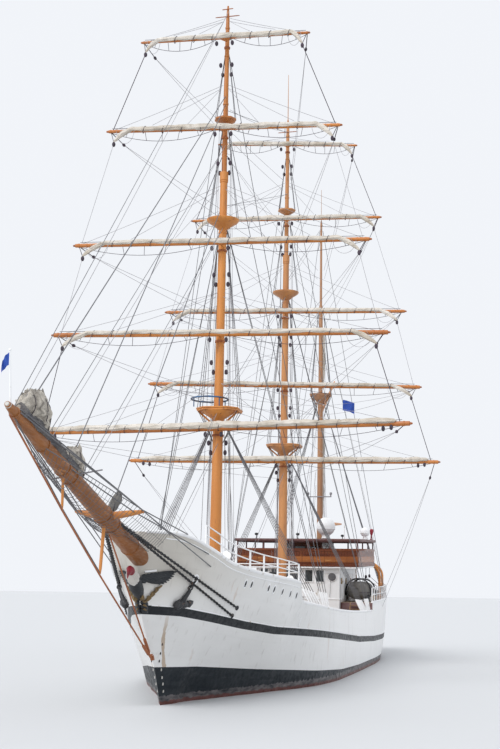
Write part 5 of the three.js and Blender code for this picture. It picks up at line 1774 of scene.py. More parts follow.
def sloped(name, aft, fore, port, starboard, low, high, bevel=0.02):      # a box whose low and high follow x
    bpy.ops.mesh.primitive_cube_add(size=1)
    made = named(name)
    for vertex in made.data.vertices:
        x = fore if vertex.co.x > 0 else aft
        y = port if vertex.co.y > 0 else starboard
        vertex.co = at(x, y, high(x) if vertex.co.z > 0 else low(x))
    if bevel:
        easeEdges(bevel)
    deselect()
    return made


def paneOn(name, centre, across, up, wide, high, proud, bevel=0.03):      # a flat eased box set on a wall
    normal = across.cross(up).normalized()
    bpy.ops.mesh.primitive_cube_add(size=1)
    made = named(name)
    turn = Matrix((across.normalized(), up.normalized(), normal)).transposed().to_4x4()
    made.data.transform(Matrix.Diagonal((wide * modelScale, high * modelScale, proud * modelScale, 1)))
    easeEdges(bevel)
    made.data.transform(Matrix.Translation(centre) @ turn)
    deselect()
    return made


def windows(name, places, frame, material="houseWhite"):      # rows of centre, across, wide, high
    frames, glasses = [], []
    up = axisZ
    for centre, across, wide, high in places:
        for shiftAcross, shiftUp, barWide, barHigh in (
                (0, high / 2 + frame / 2, wide + 2 * frame, frame),
                (0, -high / 2 - frame / 2, wide + 2 * frame, frame),
                (wide / 2 + frame / 2, 0, frame, high), (-wide / 2 - frame / 2, 0, frame, high)):
            spot = centre + (across.normalized() * shiftAcross + up * shiftUp) * modelScale
            frames.append(paneOn("frameBar", spot, across, up, barWide, barHigh, 0.09, 0.015))
        glasses.append(paneOn("glass", centre, across, up, wide, high, 0.04, 0.01))
    fit(join(f"{name}Frames", frames), material)
    fit(join(f"{name}Glass", glasses), "glassDark")


turned = {      # rows are share of the length and radius
    "reel": [(0, 0.12), (0.2, 0.12), (0.25, 0.27), (0.45, 0.27), (0.5, 0.2), (0.8, 0.2), (0.85, 0.25),
             (0.95, 0.25), (1, 0.2)],
    "aerial": [(0, 0.04), (0.3, 0.03), (1, 0.012)],
    "lamp": [(0, 0.07), (0.2, 0.03), (0.55, 0.03), (0.6, 0.12), (0.9, 0.14), (1, 0.06)],
    "horn": [(0, 0.1), (0.06, 0.1), (0.1, 0.05), (0.45, 0.06), (0.6, 0.12), (0.8, 0.15),
             (0.95, 0.13), (1, 0.07)],
    "pin": [(0, 0.012), (0.5, 0.022), (0.55, 0.03), (0.75, 0.028), (0.95, 0.034), (1, 0.015)],
    "bollard": [(0, 0.12), (0.75, 0.12), (0.8, 0.16), (0.95, 0.16), (1, 0.12)],
    "capstan": [(0, 0.42), (0.12, 0.4), (0.16, 0.3), (0.5, 0.22), (0.78, 0.28), (0.8, 0.36),
                (0.97, 0.36), (1, 0.3)],
    "raft": [(0, 0.2), (0.04, 0.3), (0.1, 0.33), (0.47, 0.33), (0.48, 0.36), (0.52, 0.36), (0.53, 0.33),
             (0.9, 0.33), (0.96, 0.3), (1, 0.2)],
    "staff": [(0, 0.045), (0.97, 0.03), (1, 0.045)],
    "boss": [(0, 0.06), (0.2, 0.12), (0.8, 0.12), (1, 0.08)],
    "spoke": [(0, 0.02), (0.15, 0.026), (0.45, 0.02), (0.78, 0.026), (0.82, 0.016), (0.9, 0.028),
              (0.98, 0.022), (1, 0.012)],
    "binnacle": [(0, 0.24), (0.08, 0.2), (0.6, 0.17), (0.68, 0.24), (0.82, 0.23), (0.94, 0.14), (1, 0.04)],
    "drums": [(0, 0.3), (0.02, 0.33), (0.05, 0.3), (0.1, 0.22), (0.14, 0.21), (0.2, 0.28), (0.22, 0.14),
              (0.31, 0.14), (0.32, 0.36), (0.36, 0.3), (0.44, 0.3), (0.47, 0.36), (0.53, 0.36), (0.56, 0.3),
              (0.64, 0.3), (0.68, 0.36), (0.69, 0.14), (0.78, 0.14), (0.8, 0.28), (0.86, 0.21), (0.9, 0.22),
              (0.95, 0.3), (0.98, 0.33), (1, 0.3)],
    "socket": [(0, 0.2), (0.1, 0.16), (0.9, 0.15), (1, 0.11)],
    "knob": [(0, 0.05), (0.3, 0.12), (0.7, 0.12), (1, 0.05)],
    "lampStem": [(0, 0.05), (0.4, 0.05), (0.5, 0.1), (0.9, 0.1), (1, 0.04)],
}


def portholes(name, places):      # rows of centre and outward normal
    rims, glasses = [], []
    for centre, normal in places:
        rims.append(ringRound("rim", centre, normal, 0.19, 0.035, 20))
        glasses.append(spar("port", centre - normal * 0.01, centre + normal * 0.012,
                            [(0, 0.18), (0.7, 0.18), (1, 0.15)], 20))
    fit(join(f"{name}Rims", rims), "bronze")
    fit(join(f"{name}Glass", glasses), "glassDark")


looksOfHouses = {
    "glassDark": {"colour": (0.02, 0.03, 0.032), "shade": (0.035, 0.045, 0.05), "broad": 2, "fine": 3,
                  "roughness": 0.22,
                  "bump": 0.0002, "coat": 0.6},
    "bandOrange": {"colour": (0.38, 0.13, 0.035), "shade": (0.2, 0.06, 0.02),
                   "worn": (0.55, 0.28, 0.09), "broad": 2.2,
                   "fine": 20, "stretch": (0.3, 0.3, 3.0), "roughness": 0.34, "coat": 0.08, "gloss": 0.25},
    "rubberGrey": {"colour": (0.22, 0.215, 0.2), "shade": (0.13, 0.125, 0.12), "broad": 2, "fine": 24,
                   "roughness": 0.8},
    "brass": {"colour": (0.62, 0.42, 0.14), "shade": (0.45, 0.28, 0.09), "broad": 6, "fine": 30,
              "roughness": 0.3,
              "metallic": 0.9},
}
materials.update({name: weathered(name, look) for name, look in looksOfHouses.items()})


def buildDeckhouse():
    half, aft, front = house["half"], house["aft"], house["front"]
    poop = railHeight(-8.3)
    top = lambda x: bridgeDeck(x) - 0.01
    parts = [sloped("poopPart", aft, house["poopBreak"], half, -half, lambda x: poop - 0.3, top, 0.04),
             sloped("waistPart", house["poopBreak"] - 0.2, front, half, -half,
                    lambda x: deckHeight(-8.05) + 0.01,
                    top, 0.04)]
    for z in house["mouldings"]:
        parts.append(sloped("moulding", aft - 0.05, front + 0.05, half + 0.05, -half - 0.05,
                            lambda x: poop + 0.12 + z, lambda x: poop + 0.2 + z, 0.02))
    for side in (-1, 1):
        for x in house["doors"]:
            parts.append(paneOn("door", at(x, side * (half + 0.03), 5.45), Vector((side, 0, 0)), axisZ, 0.8,
                                1.85, 0.08, 0.03))
    fit(join("deckhouseWalls", parts), "houseWhite", replaces=["deckhouse"])
    panes = [(at(front + 0.04, y, 6.1 - 0.02 * y), axisY, 0.52, 0.8) for y in house["frontWindows"]]
    panes.append((at(front + 0.04, -0.35, 6.08), axisY, 0.95, 0.8))
    windows("deckhouseFront", panes, 0.06)
    portholes("deckhouse", [(at(x, side * (half + 0.02), 5.75), Vector((0, side, 0)))
                            for side in (-1, 1) for x in house["portholes"]])
    rings = []
    for y, z in house["lifeRings"]:
        ring = torus("ring", 0.27, 0.07, 32, 12)
        ring.data.transform(Matrix.Translation(at(front + 0.09, y, z)) @ Matrix.Rotation(math.pi / 2, 4, "Y"))
        rings.append(ring)
    fit(join("lifeRings", rings), "lifeRing")
    wall = at(front, *house["reel"])
    reel = spar("reel", wall, wall + Vector((0.09, 0, 0)), turned["reel"], 28)
    hanging = [at(front + 0.06, y, z) for y, z in ((2.36, 5.2), (2.3, 4.6))]
    line = ropes("line", [[wall + Vector((0.06, -0.04, -0.12))] + hanging], 0.012)
    fit(join("heavingReel", [reel, line]), "netGrey", slot="black_iron")


def boardedWall(name, start, end, low, high, thick, normal,
                wide=bridge["board"]):      # upright boards side by side
    length = (end - start).length / modelScale
    count = max(2, round(length / wide))
    bpy.ops.mesh.primitive_cube_add(size=1)
    board = named("board")
    size = (length / count - 0.012) * modelScale, thick * modelScale, (high - low) * modelScale
    board.data.transform(Matrix.Diagonal((*size, 1)))
    easeEdges(0.012, 1)
    deselect()
    turn = Matrix(((end - start).normalized(), normal, axisZ)).transposed().to_4x4()
    boards = []
    for index in range(count):
        centre = start.lerp(end, (index + 0.5) / count) + rise((low + high) / 2 * modelScale)
        boards.append(copied(board, Matrix.Translation(centre) @ turn))
    bpy.data.objects.remove(board)
    return join(name, boards)


def buildBridge():
    front, aft, half, wall = (bridge[key] for key in ("front", "aft", "half", "wall"))
    fit(sloped("bridgeSlab", aft, front, half, -half, bridgeDeck, bridgeFloor, 0.03), "houseWhite")
    fit(sloped("bridgePlanks", aft + wall, front - wall, half - wall, wall - half,
               lambda x: bridgeFloor(x) - 0.01, lambda x: bridgeFloor(x) + 0.015, 0), "deckPlanks")
    corners = [(front, -half), (front, half), (aft, half), (aft, -half)]
    dark, orange, caps = [], [], []
    for (startX, startY), (endX, endY), normal in zip(corners, corners[1:] + corners[:1],
                                                      (-axisX, -axisY, axisX, axisY)):
        start, end = (at(x, y, bridgeDeck(x)) + normal * wall / 2 * modelScale
                      for x, y in ((startX, startY), (endX, endY)))
        dark.append(boardedWall("boards", start, end, 0.13, 1.31, wall * 0.75, normal))
        out = normal * -(wall / 2 + 0.012) * modelScale
        for (low, high, thick), kind in zip(bridge["bands"], (dark, orange, dark)):
            kind.append(boardedWall("bandBoards", start + out, end + out, low, high, thick, normal, 0.8))
        caps.append([spot + rise(bridge["cap"] * modelScale) for spot in (start, end)])
    fit(join("bridgeBoards", dark), "varnish", replaces=["bridge"])
    fit(join("bridgeBands", orange), "bandOrange")
    run = [caps[0][0], caps[0][1], caps[1][1], caps[2][1], caps[0][0]]
    fit(ropes("bridgeCaps", [run], 0.075, 3), "varnish")


def buildRoof():
    front, aft, half = bridge["front"] + 0.1, bridge["aft"] - 0.1, bridge["half"] + 0.1
    under = lambda x: roofTop(x) - 0.2
    parts = [sloped("roofSlab", aft, front, half, -half, under, roofTop, 0.05),
             sloped("roofEdge", aft - 0.02, front + 0.02, half + 0.02, -half - 0.02,
                    lambda x: roofTop(x) - 0.13, lambda x: roofTop(x) - 0.05, 0.02)]
    posts = [(x, side * (half - 0.2), 0.045) for x in (front - 0.16, *bridge["sidePosts"], aft + 0.16)
             for side in (-1, 1)]
    posts += [(x, y, 0.05) for y in bridge["endPosts"] for x in (front - 0.2, aft + 0.2)]
    for x, y, reach in posts:
        parts.append(block("post", at(x - reach, y - reach, bridgeDeck(x) + 1.36),
                           at(x + reach, y + reach, under(x) + 0.05), 0.012))
    for index in range(bridge["beams"]):
        x = mix(aft + 0.4, front - 0.4, index / (bridge["beams"] - 1))
        parts.append(block("beam", at(x - 0.04, 0.2 - half, under(x) - 0.07),
                           at(x + 0.04, half - 0.2, under(x) + 0.02), 0.01))
    fit(join("bridgeRoof", parts), "roofBrown", replaces=["bridge_roof"])


def buildWheelhouse():
    front, aft, half, skirt = (wheelhouse[key] for key in ("front", "aft", "half", "skirt"))
    middle = wheelhouse["windowBottom"] + wheelhouse["windowHeight"] / 2
    places = [(at(x, side * (half - 0.03), bridgeFloor(x) + middle), Vector((side, 0, 0)), 0.76, 0.56)
              for x in wheelhouse["sideWindows"] for side in (-1, 1)]
    places += [(at(front - 0.03, y, bridgeFloor(front) + middle), axisY, 0.72, 0.56)
               for y in wheelhouse["frontWindows"]]
    windows("wheelhouse", places, 0.05, "varnish")
    screens = [ringRound("screen", at(front + 0.03, y, bridgeFloor(front) + 1.15), axisX, 0.19, 0.03, 24)
               for y in wheelhouse["screens"]]
    fit(join("clearScreens", screens), "houseWhite")
    walls = [(at(aft, side * (half + 0.03), bridgeFloor(aft)),
              at(front, side * (half + 0.03), bridgeFloor(front)),
              Vector((0, side, 0))) for side in (-1, 1)]
    walls.append((*(at(front + 0.03, y, bridgeFloor(front)) for y in (-half, half)), axisX))
    boards = [boardedWall("skirt", start, end, normal=out, **skirt) for start, end, out in walls]
    fit(join("wheelhouseSkirt", boards), "varnish")
    console = sloped("console", front - 0.75, front - 0.25, 0.9, -0.9, bridgeFloor,
                     lambda x: bridgeFloor(x) + 0.75 + (x - front) * -0.2)
    fit(console, "roofBrown")


domes = [("radome_large", -9.2, 1.78, 0.67, 0.2), ("radome_small", -13.5, 4.08, 0.36, 0.2)]
roofGear = {"legs": (-13.5, 4.08), "aerials": (-15.8, -2.6), "horn": (-16.3, 4.2),
            "lamps": ((-7.6, -3.0), (-7.6, 0.0), (-7.6, -1.2), (-16.2, 2.0))}


def onRoof(x, y):
    return at(x, y, roofTop(x))


def buildDomes():
    for node, x, y, radius, lift in domes:
        foot = roofTop(x - radius)
        rows = [(0, radius * 0.45), (0.03, radius * 0.5), (0.08, radius * 0.45), (lift, radius * 0.42)]
        for step in range(15):
            angle = math.radians(mix(-62, 89, step / 14))
            rows.append((lift + radius * (1 + math.sin(angle)), radius * max(0.02, math.cos(angle))))
        tall = rows[-1][0]
        dome = spar("dome", at(x, y, foot), at(x, y, foot + tall),
                    [(height / tall, wide) for height, wide in rows], 40)
        seam = ringRound("seam", at(x, y, foot + lift + radius * 0.75), axisZ, radius * 0.985, 0.02, 48)
        fit(join(f"{node}Shell", [dome, seam]), "houseWhite", replaces=[node])
    foot = onRoof(*roofGear["legs"])
    legs = [spar("leg", foot + Vector((0.1 * x, 0.1 * y, -0.02)), foot + Vector((0.06 * x, 0.06 * y, 0.13)),
                 [(0, 0.03), (1, 0.03)], 8)
            for x in (-1, 1) for y in (-1, 1)]
    masthead = onRoof(*roofGear["aerials"])
    legs.append(spar("aerial", masthead, masthead + rise(1.3), turned["aerial"], 8))
    legs.append(spar("aerial", masthead + Vector((0, 2.4, 0)), masthead + Vector((0, 2.4, 1.1)),
                     turned["aerial"], 8))
    fit(join("roofAerials", legs), "houseWhite")
    lamps = []
    for place in roofGear["lamps"]:
        base = onRoof(*place)
        lamps.append(spar("lamp", base, base + rise(0.2), turned["lamp"], 14))
    fit(join("roofLamps", lamps), "blackIron")
    base = onRoof(*roofGear["horn"])
    horn = spar("horn", base, base + Vector((0.02, 0.03, 0.42)), turned["horn"], 18)
    fit(horn, "birdRed", slot="stay_orange")


waistHouse = {"aft": 3.0, "fore": 12.0, "half": 2.3, "high": 2.1, "doors": (-1.0, 1.0),
              "portholes": (4.2, 5.7, 7.2, 8.7, 10.2, 11.3), "skylight": (6.2, 8.0), "lids": (6.5, 7.1, 7.7)}


def skylight(aft, fore, base, low, high, lids, up, wide):      # a coaming with lids that lean out
    pieces = [sloped("coaming", aft, fore, 0.75, -0.75, lambda x: base(x) + low,
                     lambda x: base(x) + high, 0.03)]
    for side in (-1, 1):
        tilt = Vector((0, side * 0.8, -0.45)).normalized()
        for x in lids:
            pieces.append(paneOn("lid", at(x, side * 0.4, base(x) + up), axisX, tilt, wide, 0.85, 0.05, 0.02))
    return pieces


def buildWaistHouse():
    aft, fore, half, high = (waistHouse[key] for key in ("aft", "fore", "half", "high"))
    top = lambda x: deckHeight(x) + high
    parts = [sloped("walls", aft, fore, half, -half, deckHeight, lambda x: top(x) - 0.06, 0.04),
             sloped("roofEdge", aft - 0.06, fore + 0.06, half + 0.06, -half - 0.06,
                    lambda x: top(x) - 0.1, top, 0.03)]
    for x in (aft - 0.02, fore + 0.02):
        for y in waistHouse["doors"]:
            parts.append(paneOn("door", at(x, y, deckHeight(x) + 1.0), axisY, axisZ, 0.75, 1.75, 0.08, 0.03))
    fit(join("waistHouseWalls", parts), "houseWhite", replaces=["waist_house"])
    portholes("waistHouse", [(at(x, side * (half + 0.01), deckHeight(x) + 1.35), Vector((0, side, 0)))
                             for x in waistHouse["portholes"] for side in (-1, 1)])
    pieces = skylight(*waistHouse["skylight"], top, -0.02, 0.35, waistHouse["lids"], 0.5, 0.5)
    fit(join("waistSkylight", pieces), "varnish")


# Deck gear

def scatter(name, pattern, places, material):      # a pattern piece copied to each place and turned to it
    made = [copied(pattern, place) for place in places]
    bpy.data.objects.remove(pattern)
    return fit(join(name, made), material)


def buildPinRails():
    rails, pins = [], []
    for mastName, runs in {"fore": (14.2, 18.2), "main": (-5.8, -1.4), "mizzen": (-22.6, -18.2)}.items():
        floor, high, inset = (railHeight, 0.7, 0.3) if mastName == "mizzen" else (deckHeight, 0.95, 0.35)
        for side in (-1, 1):
            spot = lambda x: at(x, side * (hullSide(x, railHeight(x)) - inset), floor(x) + high)
            rails.append([spot(x) for x in alongDeck(*runs)])
            pins += [Matrix.Translation(spot(x)) for x in alongDeck(runs[0] + 0.15, runs[1] - 0.15, 0.3)]
    for mastName, mast in masts.items():
        floor = railHeight if mastName == "mizzen" else deckHeight
        spot = lambda x, y, up=0.95: at(mast["x"] + x, y, floor(mast["x"]) + up)
        for side in (-1, 1):
            rails.append([spot(-0.7, side * 0.95), spot(0.9, side * 0.95)])
            pins += [Matrix.Translation(spot(x, side * 0.95)) for x in (-0.55, -0.25, 0.05, 0.35, 0.65)]
        rails.append([spot(0.9, -1.0), spot(0.9, 1.0)])
        for x, y in ((-0.7, -0.95), (-0.7, 0.95), (0.9, -0.95), (0.9, 0.95)):
            rails.append([spot(x, y, 0), spot(x, y)])
    fit(ropes("pinRails", rails, 0.065, 2), "varnish")
    scatter("belayingPins", spar("pin", at(0, 0, -0.22), at(0, 0, 0.2), turned["pin"], 8), pins, "varnish")
    coil = torus("coil", 0.13, 0.045, 14, 7)
    coil.data.transform(Matrix.Rotation(math.pi / 2, 4, "X") @ Matrix.Diagonal((0.7, 1.35, 1.2, 1)))
    scatter("ropeCoils", coil,
            [place @ Matrix.Translation(at(0, 0, -0.25)) for place in pins[::2]], "ropePale")


def buildBollards():
    made = []
    for x, inset, floor in ((28.0, 0.75, deckHeight), (21.0, 0.75, deckHeight), (-10.5, 0.6, railHeight),
                            (-27.0, 0.6, railHeight)):
        for side in (-1, 1):
            y, z = side * (hullSide(x, railHeight(x)) - inset), floor(x)
            made.append(block("base", at(x - 0.5, y - 0.17, z), at(x + 0.5, y + 0.17, z + 0.07), 0.02))
            for shift in (-0.27, 0.27):
                made.append(spar("post", at(x + shift, y, z + 0.05), at(x + shift, y, z + 0.5),
                                 turned["bollard"], 16))
    fit(join("bollards", made), "blackIron")
    x, z = 23.0, deckHeight(23.0)
    drum = spar("capstan", at(x, 0, z), at(x, 0, z + 1.0), turned["capstan"], 24)
    ribs = [spar("whelp", at(x + 0.27 * math.cos(turn), 0.27 * math.sin(turn), z + 0.16),
                 at(x + 0.25 * math.cos(turn), 0.25 * math.sin(turn), z + 0.78),
                 [(0, 0.05), (0.5, 0.045), (1, 0.05)], 8)
            for turn in (index * math.pi / 4 for index in range(8))]
    fit(join("capstan", [drum] + ribs), "blackIron")


def cowl(name, x, y, z, high, radius):      # a ventilator with its mouth turned forward
    path = [at(x + radius * forward, y, z + high * up) for forward,
            up in ((0, 0), (0, 0.7), (0.4, 0.92), (1.3, 1))]
    pipe = ropes("pipe", [path], radius * 0.62, 5)
    mouth = spar("mouth", path[-2], path[-1] + Vector((0.02, 0, 0)),
                 [(share, radius * wide) for share,
                  wide in ((0, 0.62), (0.5, 0.85), (0.9, 1.1), (0.92, 1), (0.93, 0.7))], 20)
    return join(name, [pipe, mouth])


def hatch(name, aft, fore, half, high=0.55):
    deck = (aft + fore) / 2
    coaming = sloped("coaming", aft, fore, half, -half, deckHeight, lambda x: deckHeight(x) + high, 0.04)
    boards = []
    count = round((fore - aft) / 0.3)
    for index in range(count):
        start, end = mix(aft, fore, index / count) + 0.02, mix(aft, fore, (index + 1) / count) - 0.02
        boards.append(block("board", at(start, 0.06 - half, deckHeight(deck) + high - 0.02),
                            at(end, half - 0.06, deckHeight(deck) + high + 0.07), 0.02))
    fit(coaming, "houseWhite")
    coaming.name = coaming.data.name = f"{name}Coaming"
    fit(join(f"{name}Boards", boards), "teak")


def ladder(name, foot, head, wide, steps):
    across = Vector((0, wide / 2 * modelScale, 0))
    sides = [[foot + across * side, head + across * side] for side in (-1, 1)]
    pieces = [ropes("stringers", sides, 0.045, 2)]
    for index in range(steps):
        spot = foot.lerp(head, (index + 0.7) / (steps + 0.4))
        pieces.append(block("tread", spot - across - Vector((0.09, 0, 0.012)),
                            spot + across + Vector((0.09, 0, 0.012)), 0.01))
    return join(name, pieces)


def buildDeckGear():
    hatch("foreHatch", 13.1, 15.3, 1.3)
    hatch("mainHatch", -6.3, -4.0, 1.4)
    vents = [cowl("vent", x, side * y, z, high, radius) for x, y, z, high, radius in (
        (12.9, 2.0, deckHeight(12.9), 1.9, 0.3), (4.0, 1.6, deckHeight(4.0) + waistHouse["high"], 1.0, 0.22),
        (21.6, 1.5, deckHeight(21.6), 1.2, 0.24), (-18.4, 2.2, railHeight(-18.4), 1.5, 0.24))
             for side in (1, -1)]
    fit(join("cowlVents", vents), "houseWhite")
    steps = []
    for side in (-1, 1):
        for foot, head, y, low, high, wide, count in (
                (17.2, 18.75, 3.4, deckHeight(17.2), railHeight(19.2), 0.8, 7),
                (-6.6, -8.0, 4.1, deckHeight(-6.6), railHeight(-8.4), 0.7, 6),
                (-18.3, -16.7, 2.6, railHeight(-18.3), bridgeDeck(-16.7) + 0.05, 0.7, 8)):
            steps.append(ladder("steps", at(foot, side * y, low), at(head, side * y, high), wide, count))
    fit(join("ladders", steps), "teak")
    pieces = skylight(-20.4, -18.9, railHeight, 0, 0.5, (-20.1, -19.65, -19.2), 0.66, 0.4)
    fit(join("poopSkylight", pieces), "varnish")
    hood = [sloped("hood", -26.4, -24.9, 0.7, -0.7, railHeight,
                   lambda x: railHeight(x) + 1.3 + (x + 26.4) * 0.15, 0.08)]
    hood.append(sloped("locker", -29.6, -28.7, 1.6, -1.6, railHeight, lambda x: railHeight(x) + 0.55, 0.04))
    fit(join("companionAndLocker", hood), "houseWhite")
    rafts = []
    for x, y in ((-17.6, 3.7), (-17.6, -3.7), (-12.0, -4.0), (-13.6, -4.0)):
        z = railHeight(x) + 0.45
        rafts.append(spar("raft", at(x - 0.6, y, z), at(x + 0.6, y, z), turned["raft"], 24))
        rafts.append(block("cradle", at(x - 0.4, y - 0.3, z - 0.45), at(x + 0.4, y + 0.3, z - 0.28), 0.03))
    fit(join("liferafts", rafts), "houseWhite")
    rail = railHeight(-30.7)
    fit(spar("ensignStaff", at(-30.7, 0, rail + 0.1), at(-31.15, 0, rail + 2.9), turned["staff"], 12),
        "houseWhite")
    frames = []
    for side in (-1, 1):
        for x in alongDeck(-7.0, 18.0, 1.35):
            y = hullSide(x, railHeight(x)) - 0.16
            frames.append([at(x, side * (y - 0.3), deckHeight(x)), at(x, side * y, railHeight(x) - 0.1)])
    fit(ropes("bulwarkStays", frames, 0.04, 1), "houseWhite")


# Helm, windlass, davits and boat

helm = {"x": -21.7, "z": 5.64, "radius": 0.75, "spokes": 8}


def buildHelm():
    centre = at(helm["x"], 0, helm["z"])
    pieces = [ringRound("rim", centre, axisX, helm["radius"], 0.045, 48),
              ringRound("innerRim", centre, axisX, helm["radius"] * 0.5, 0.025, 40),
              spar("boss", centre + Vector((0.03, 0, 0)), centre - Vector((0.05, 0, 0)), turned["boss"], 20)]
    for index in range(helm["spokes"]):
        angle = index * 2 * math.pi / helm["spokes"]
        reach = Vector((0, math.cos(angle), math.sin(angle))) * (helm["radius"] + 0.18) * modelScale
        pieces.append(spar("spoke", centre, centre + reach, turned["spoke"], 12))
    fit(join("steeringWheel", pieces), "varnish", "helm", "teak", ["helm_wheel"])
    base = railHeight(-22)
    stand = [block("stand", at(-21.6, -0.3, base + 0.03), at(-21.1, 0.3, base + 1.2), 0.05),
             sloped("standTop", -21.6, -21.1, 0.3, -0.3, lambda x: base + 1.15,
                    lambda x: base + 1.25 + (x + 21.6) * 0.2, 0.03)]
    fit(join("helmStand", stand), "varnish", slot="teak", replaces=["helm_pedestal"])
    x = -20.75
    fit(spar("binnacle", at(x, 0, base), at(x, 0, base + 1.3), turned["binnacle"], 24), "brass")
    grating = [block("slat", at(-22.9 + 0.12 * index, -0.8, base + 0.01),
                     at(-22.84 + 0.12 * index, 0.8, base + 0.09), 0.01) for index in range(9)]
    fit(join("helmGrating", grating), "teak")


def buildWindlass():
    x = 25.75
    deck = deckHeight(x)
    axle = deck + 0.5
    parts = [sloped("bed", x - 0.55, x + 0.55, 0.9, -0.9, deckHeight,
                    lambda spot: deckHeight(spot) + 0.25, 0.04)]
    parts.append(spar("drums", at(x, -1.2, axle), at(x, 1.2, axle), turned["drums"], 28))
    for y in (-0.62, 0.62):
        parts.append(sloped("frame", x - 0.3, x + 0.3, y + 0.06, y - 0.06, lambda spot: deck + 0.2,
                            lambda spot: axle + 0.12, 0.05))
    parts.append(block("motor", at(x - 0.5, -0.3, deck + 0.2), at(x - 0.15, 0.3, deck + 0.62), 0.06))
    fit(join("anchorWindlass", parts), "blackIron", replaces=["windlass"])
    for side in (-1, 1):
        start, end = at(x + 0.32, side * 0.45, axle), at(29.6, side * 1.1, deckHeight(29.6) + 0.12)
        fit(chain(f"deckCable{'Port' if side > 0 else 'Starboard'}", start, end, 0.22, 0.035, 0.12),
            "blackIron")


# rows are how far inboard and how high an arm goes
davitBend = [(0, 0), (0, 1.0), (0, 1.75), (-0.05, 2.02), (-0.16, 2.24), (-0.34, 2.43), (-0.56, 2.6),
             (-0.8, 2.72), (-1.05, 2.8)]


def buildDavits():
    for name, node, side in (("davitsPort", "davits_port", 1), ("davitsStarboard", "davits_starboard", -1)):
        parts, falls, heads = [], [], []
        for x in (-17.2, -23.2):
            foot = railHeight(x) + 0.02
            y = side * (hullSide(x, foot - 0.05) - 0.35)
            path = [at(x, y + side * out, foot + up) for out, up in davitBend]
            parts.append(ropes("arm", [path], 0.1, 4))
            parts.append(spar("socket", at(x, y, foot), at(x, y, foot + 0.55), turned["socket"], 16))
            parts.append(spar("headKnob", path[-1] - rise(0.06), path[-1] + rise(0.09), turned["knob"], 14))
            heads.append(path[-1])
            falls.append([path[-1], path[-1] + rise(-0.55), at(x, y - side * 0.12, foot + 0.9)])
        parts.append(ropes("span", [heads], 0.035, 2))
        fit(join(name, parts), "sparPaint", replaces=[node])
        tackles = [copied(pulley, Matrix.Translation(head - rise(drop)))
                   for head in heads for drop in (0.1, 0.55)]
        fit(join(f"{name}Falls", tackles + [ropes("falls", falls, 0.02)]), "ropeDark")


boat = {"y": 4.0,      # rows are x, half width and half height
        "rows": [(-13.52, 0.5, 0.3), (-13.42, 0.68, 0.48), (-13.0, 0.8, 0.6), (-12.3, 0.85, 0.68),
                 (-11.2, 0.85, 0.7), (-10.5, 0.82, 0.69), (-10.0, 0.74, 0.64), (-9.65, 0.6, 0.54),
                 (-9.42, 0.42, 0.38), (-9.3, 0.2, 0.18)],
        "hoops": (-10.25, -12.9)}


def buildBoat():
    base = railHeight(-13) + 0.02
    rows = [(x, boat["y"], base + 0.76, wide, high) for x, wide, high in boat["rows"]]
    shell = loafOf("boatShell", [(x, y, z - 0.12, wide, high * 0.82) for x, y, z, wide, high in rows], 32)
    smooth(shell, 60)
    fit(shell, "rubberGrey", replaces=["workboat"])
    cover = []
    for x, y, z, wide, high in rows:
        ring = []
        for step in range(25):
            angle = math.pi * step / 24
            sag = (0.04 * math.sin(x * 7) * math.sin(angle * 3)
                   - 0.05 * math.sin(angle) ** 2 * math.sin(x * 2.4) ** 2)
            square = abs(math.cos(angle)) ** 0.8 * (1 if math.cos(angle) > 0 else -1)
            ring.append(at(x, y + (wide + 0.02) * square,
                           z - 0.12 + (high + 0.1 + sag) * math.sin(angle) ** 0.85))
        cover.append(ring)
    sheet = gridOver("boatCover", cover)
    smooth(sheet, 60)
    fit(sheet, "coverGrey")
    lines = [[at(x, y + side * (wide + 0.03), z - 0.14) for x, y, z, wide, high in rows] for side in (-1, 1)]
    fit(ropes("boatGrabLines", lines, 0.022), "ropeDark")
    arches = []
    for x in boat["hoops"]:
        arch = [at(x, boat["y"] + 0.9 * math.cos(turn), base + 0.62 + 0.96 * math.sin(turn) ** 0.8)
                for turn in (math.pi * step / 20 for step in range(21))]
        arches.append([arch[0] - rise(0.1)] + arch + [arch[-1] - rise(0.1)])
    fit(ropes("boatHoops", arches, 0.055, 3), "blackIron")
    chocks = [sloped("chock", x - 0.09, x + 0.09, boat["y"] + 0.6, boat["y"] - 0.6, lambda spot: base - 0.02,
                     lambda spot: base + 0.3)
              for x in (-12.8, -10.4)]
    fit(join("boatChocks", chocks), "houseWhite")


# Mizzen: boom, gaff and furled sails

bundles = {"furledSpanker": {"low": 10.9, "high": 18.5, "steps": 12, "wide": 0.24,
                             "ahead": -0.5, "side": 0.0},
           "furledMizzenTopsail": {"low": 21.2, "high": 25.6, "steps": 9, "wide": 0.16,
                                   "ahead": -0.34, "side": 0.12}}


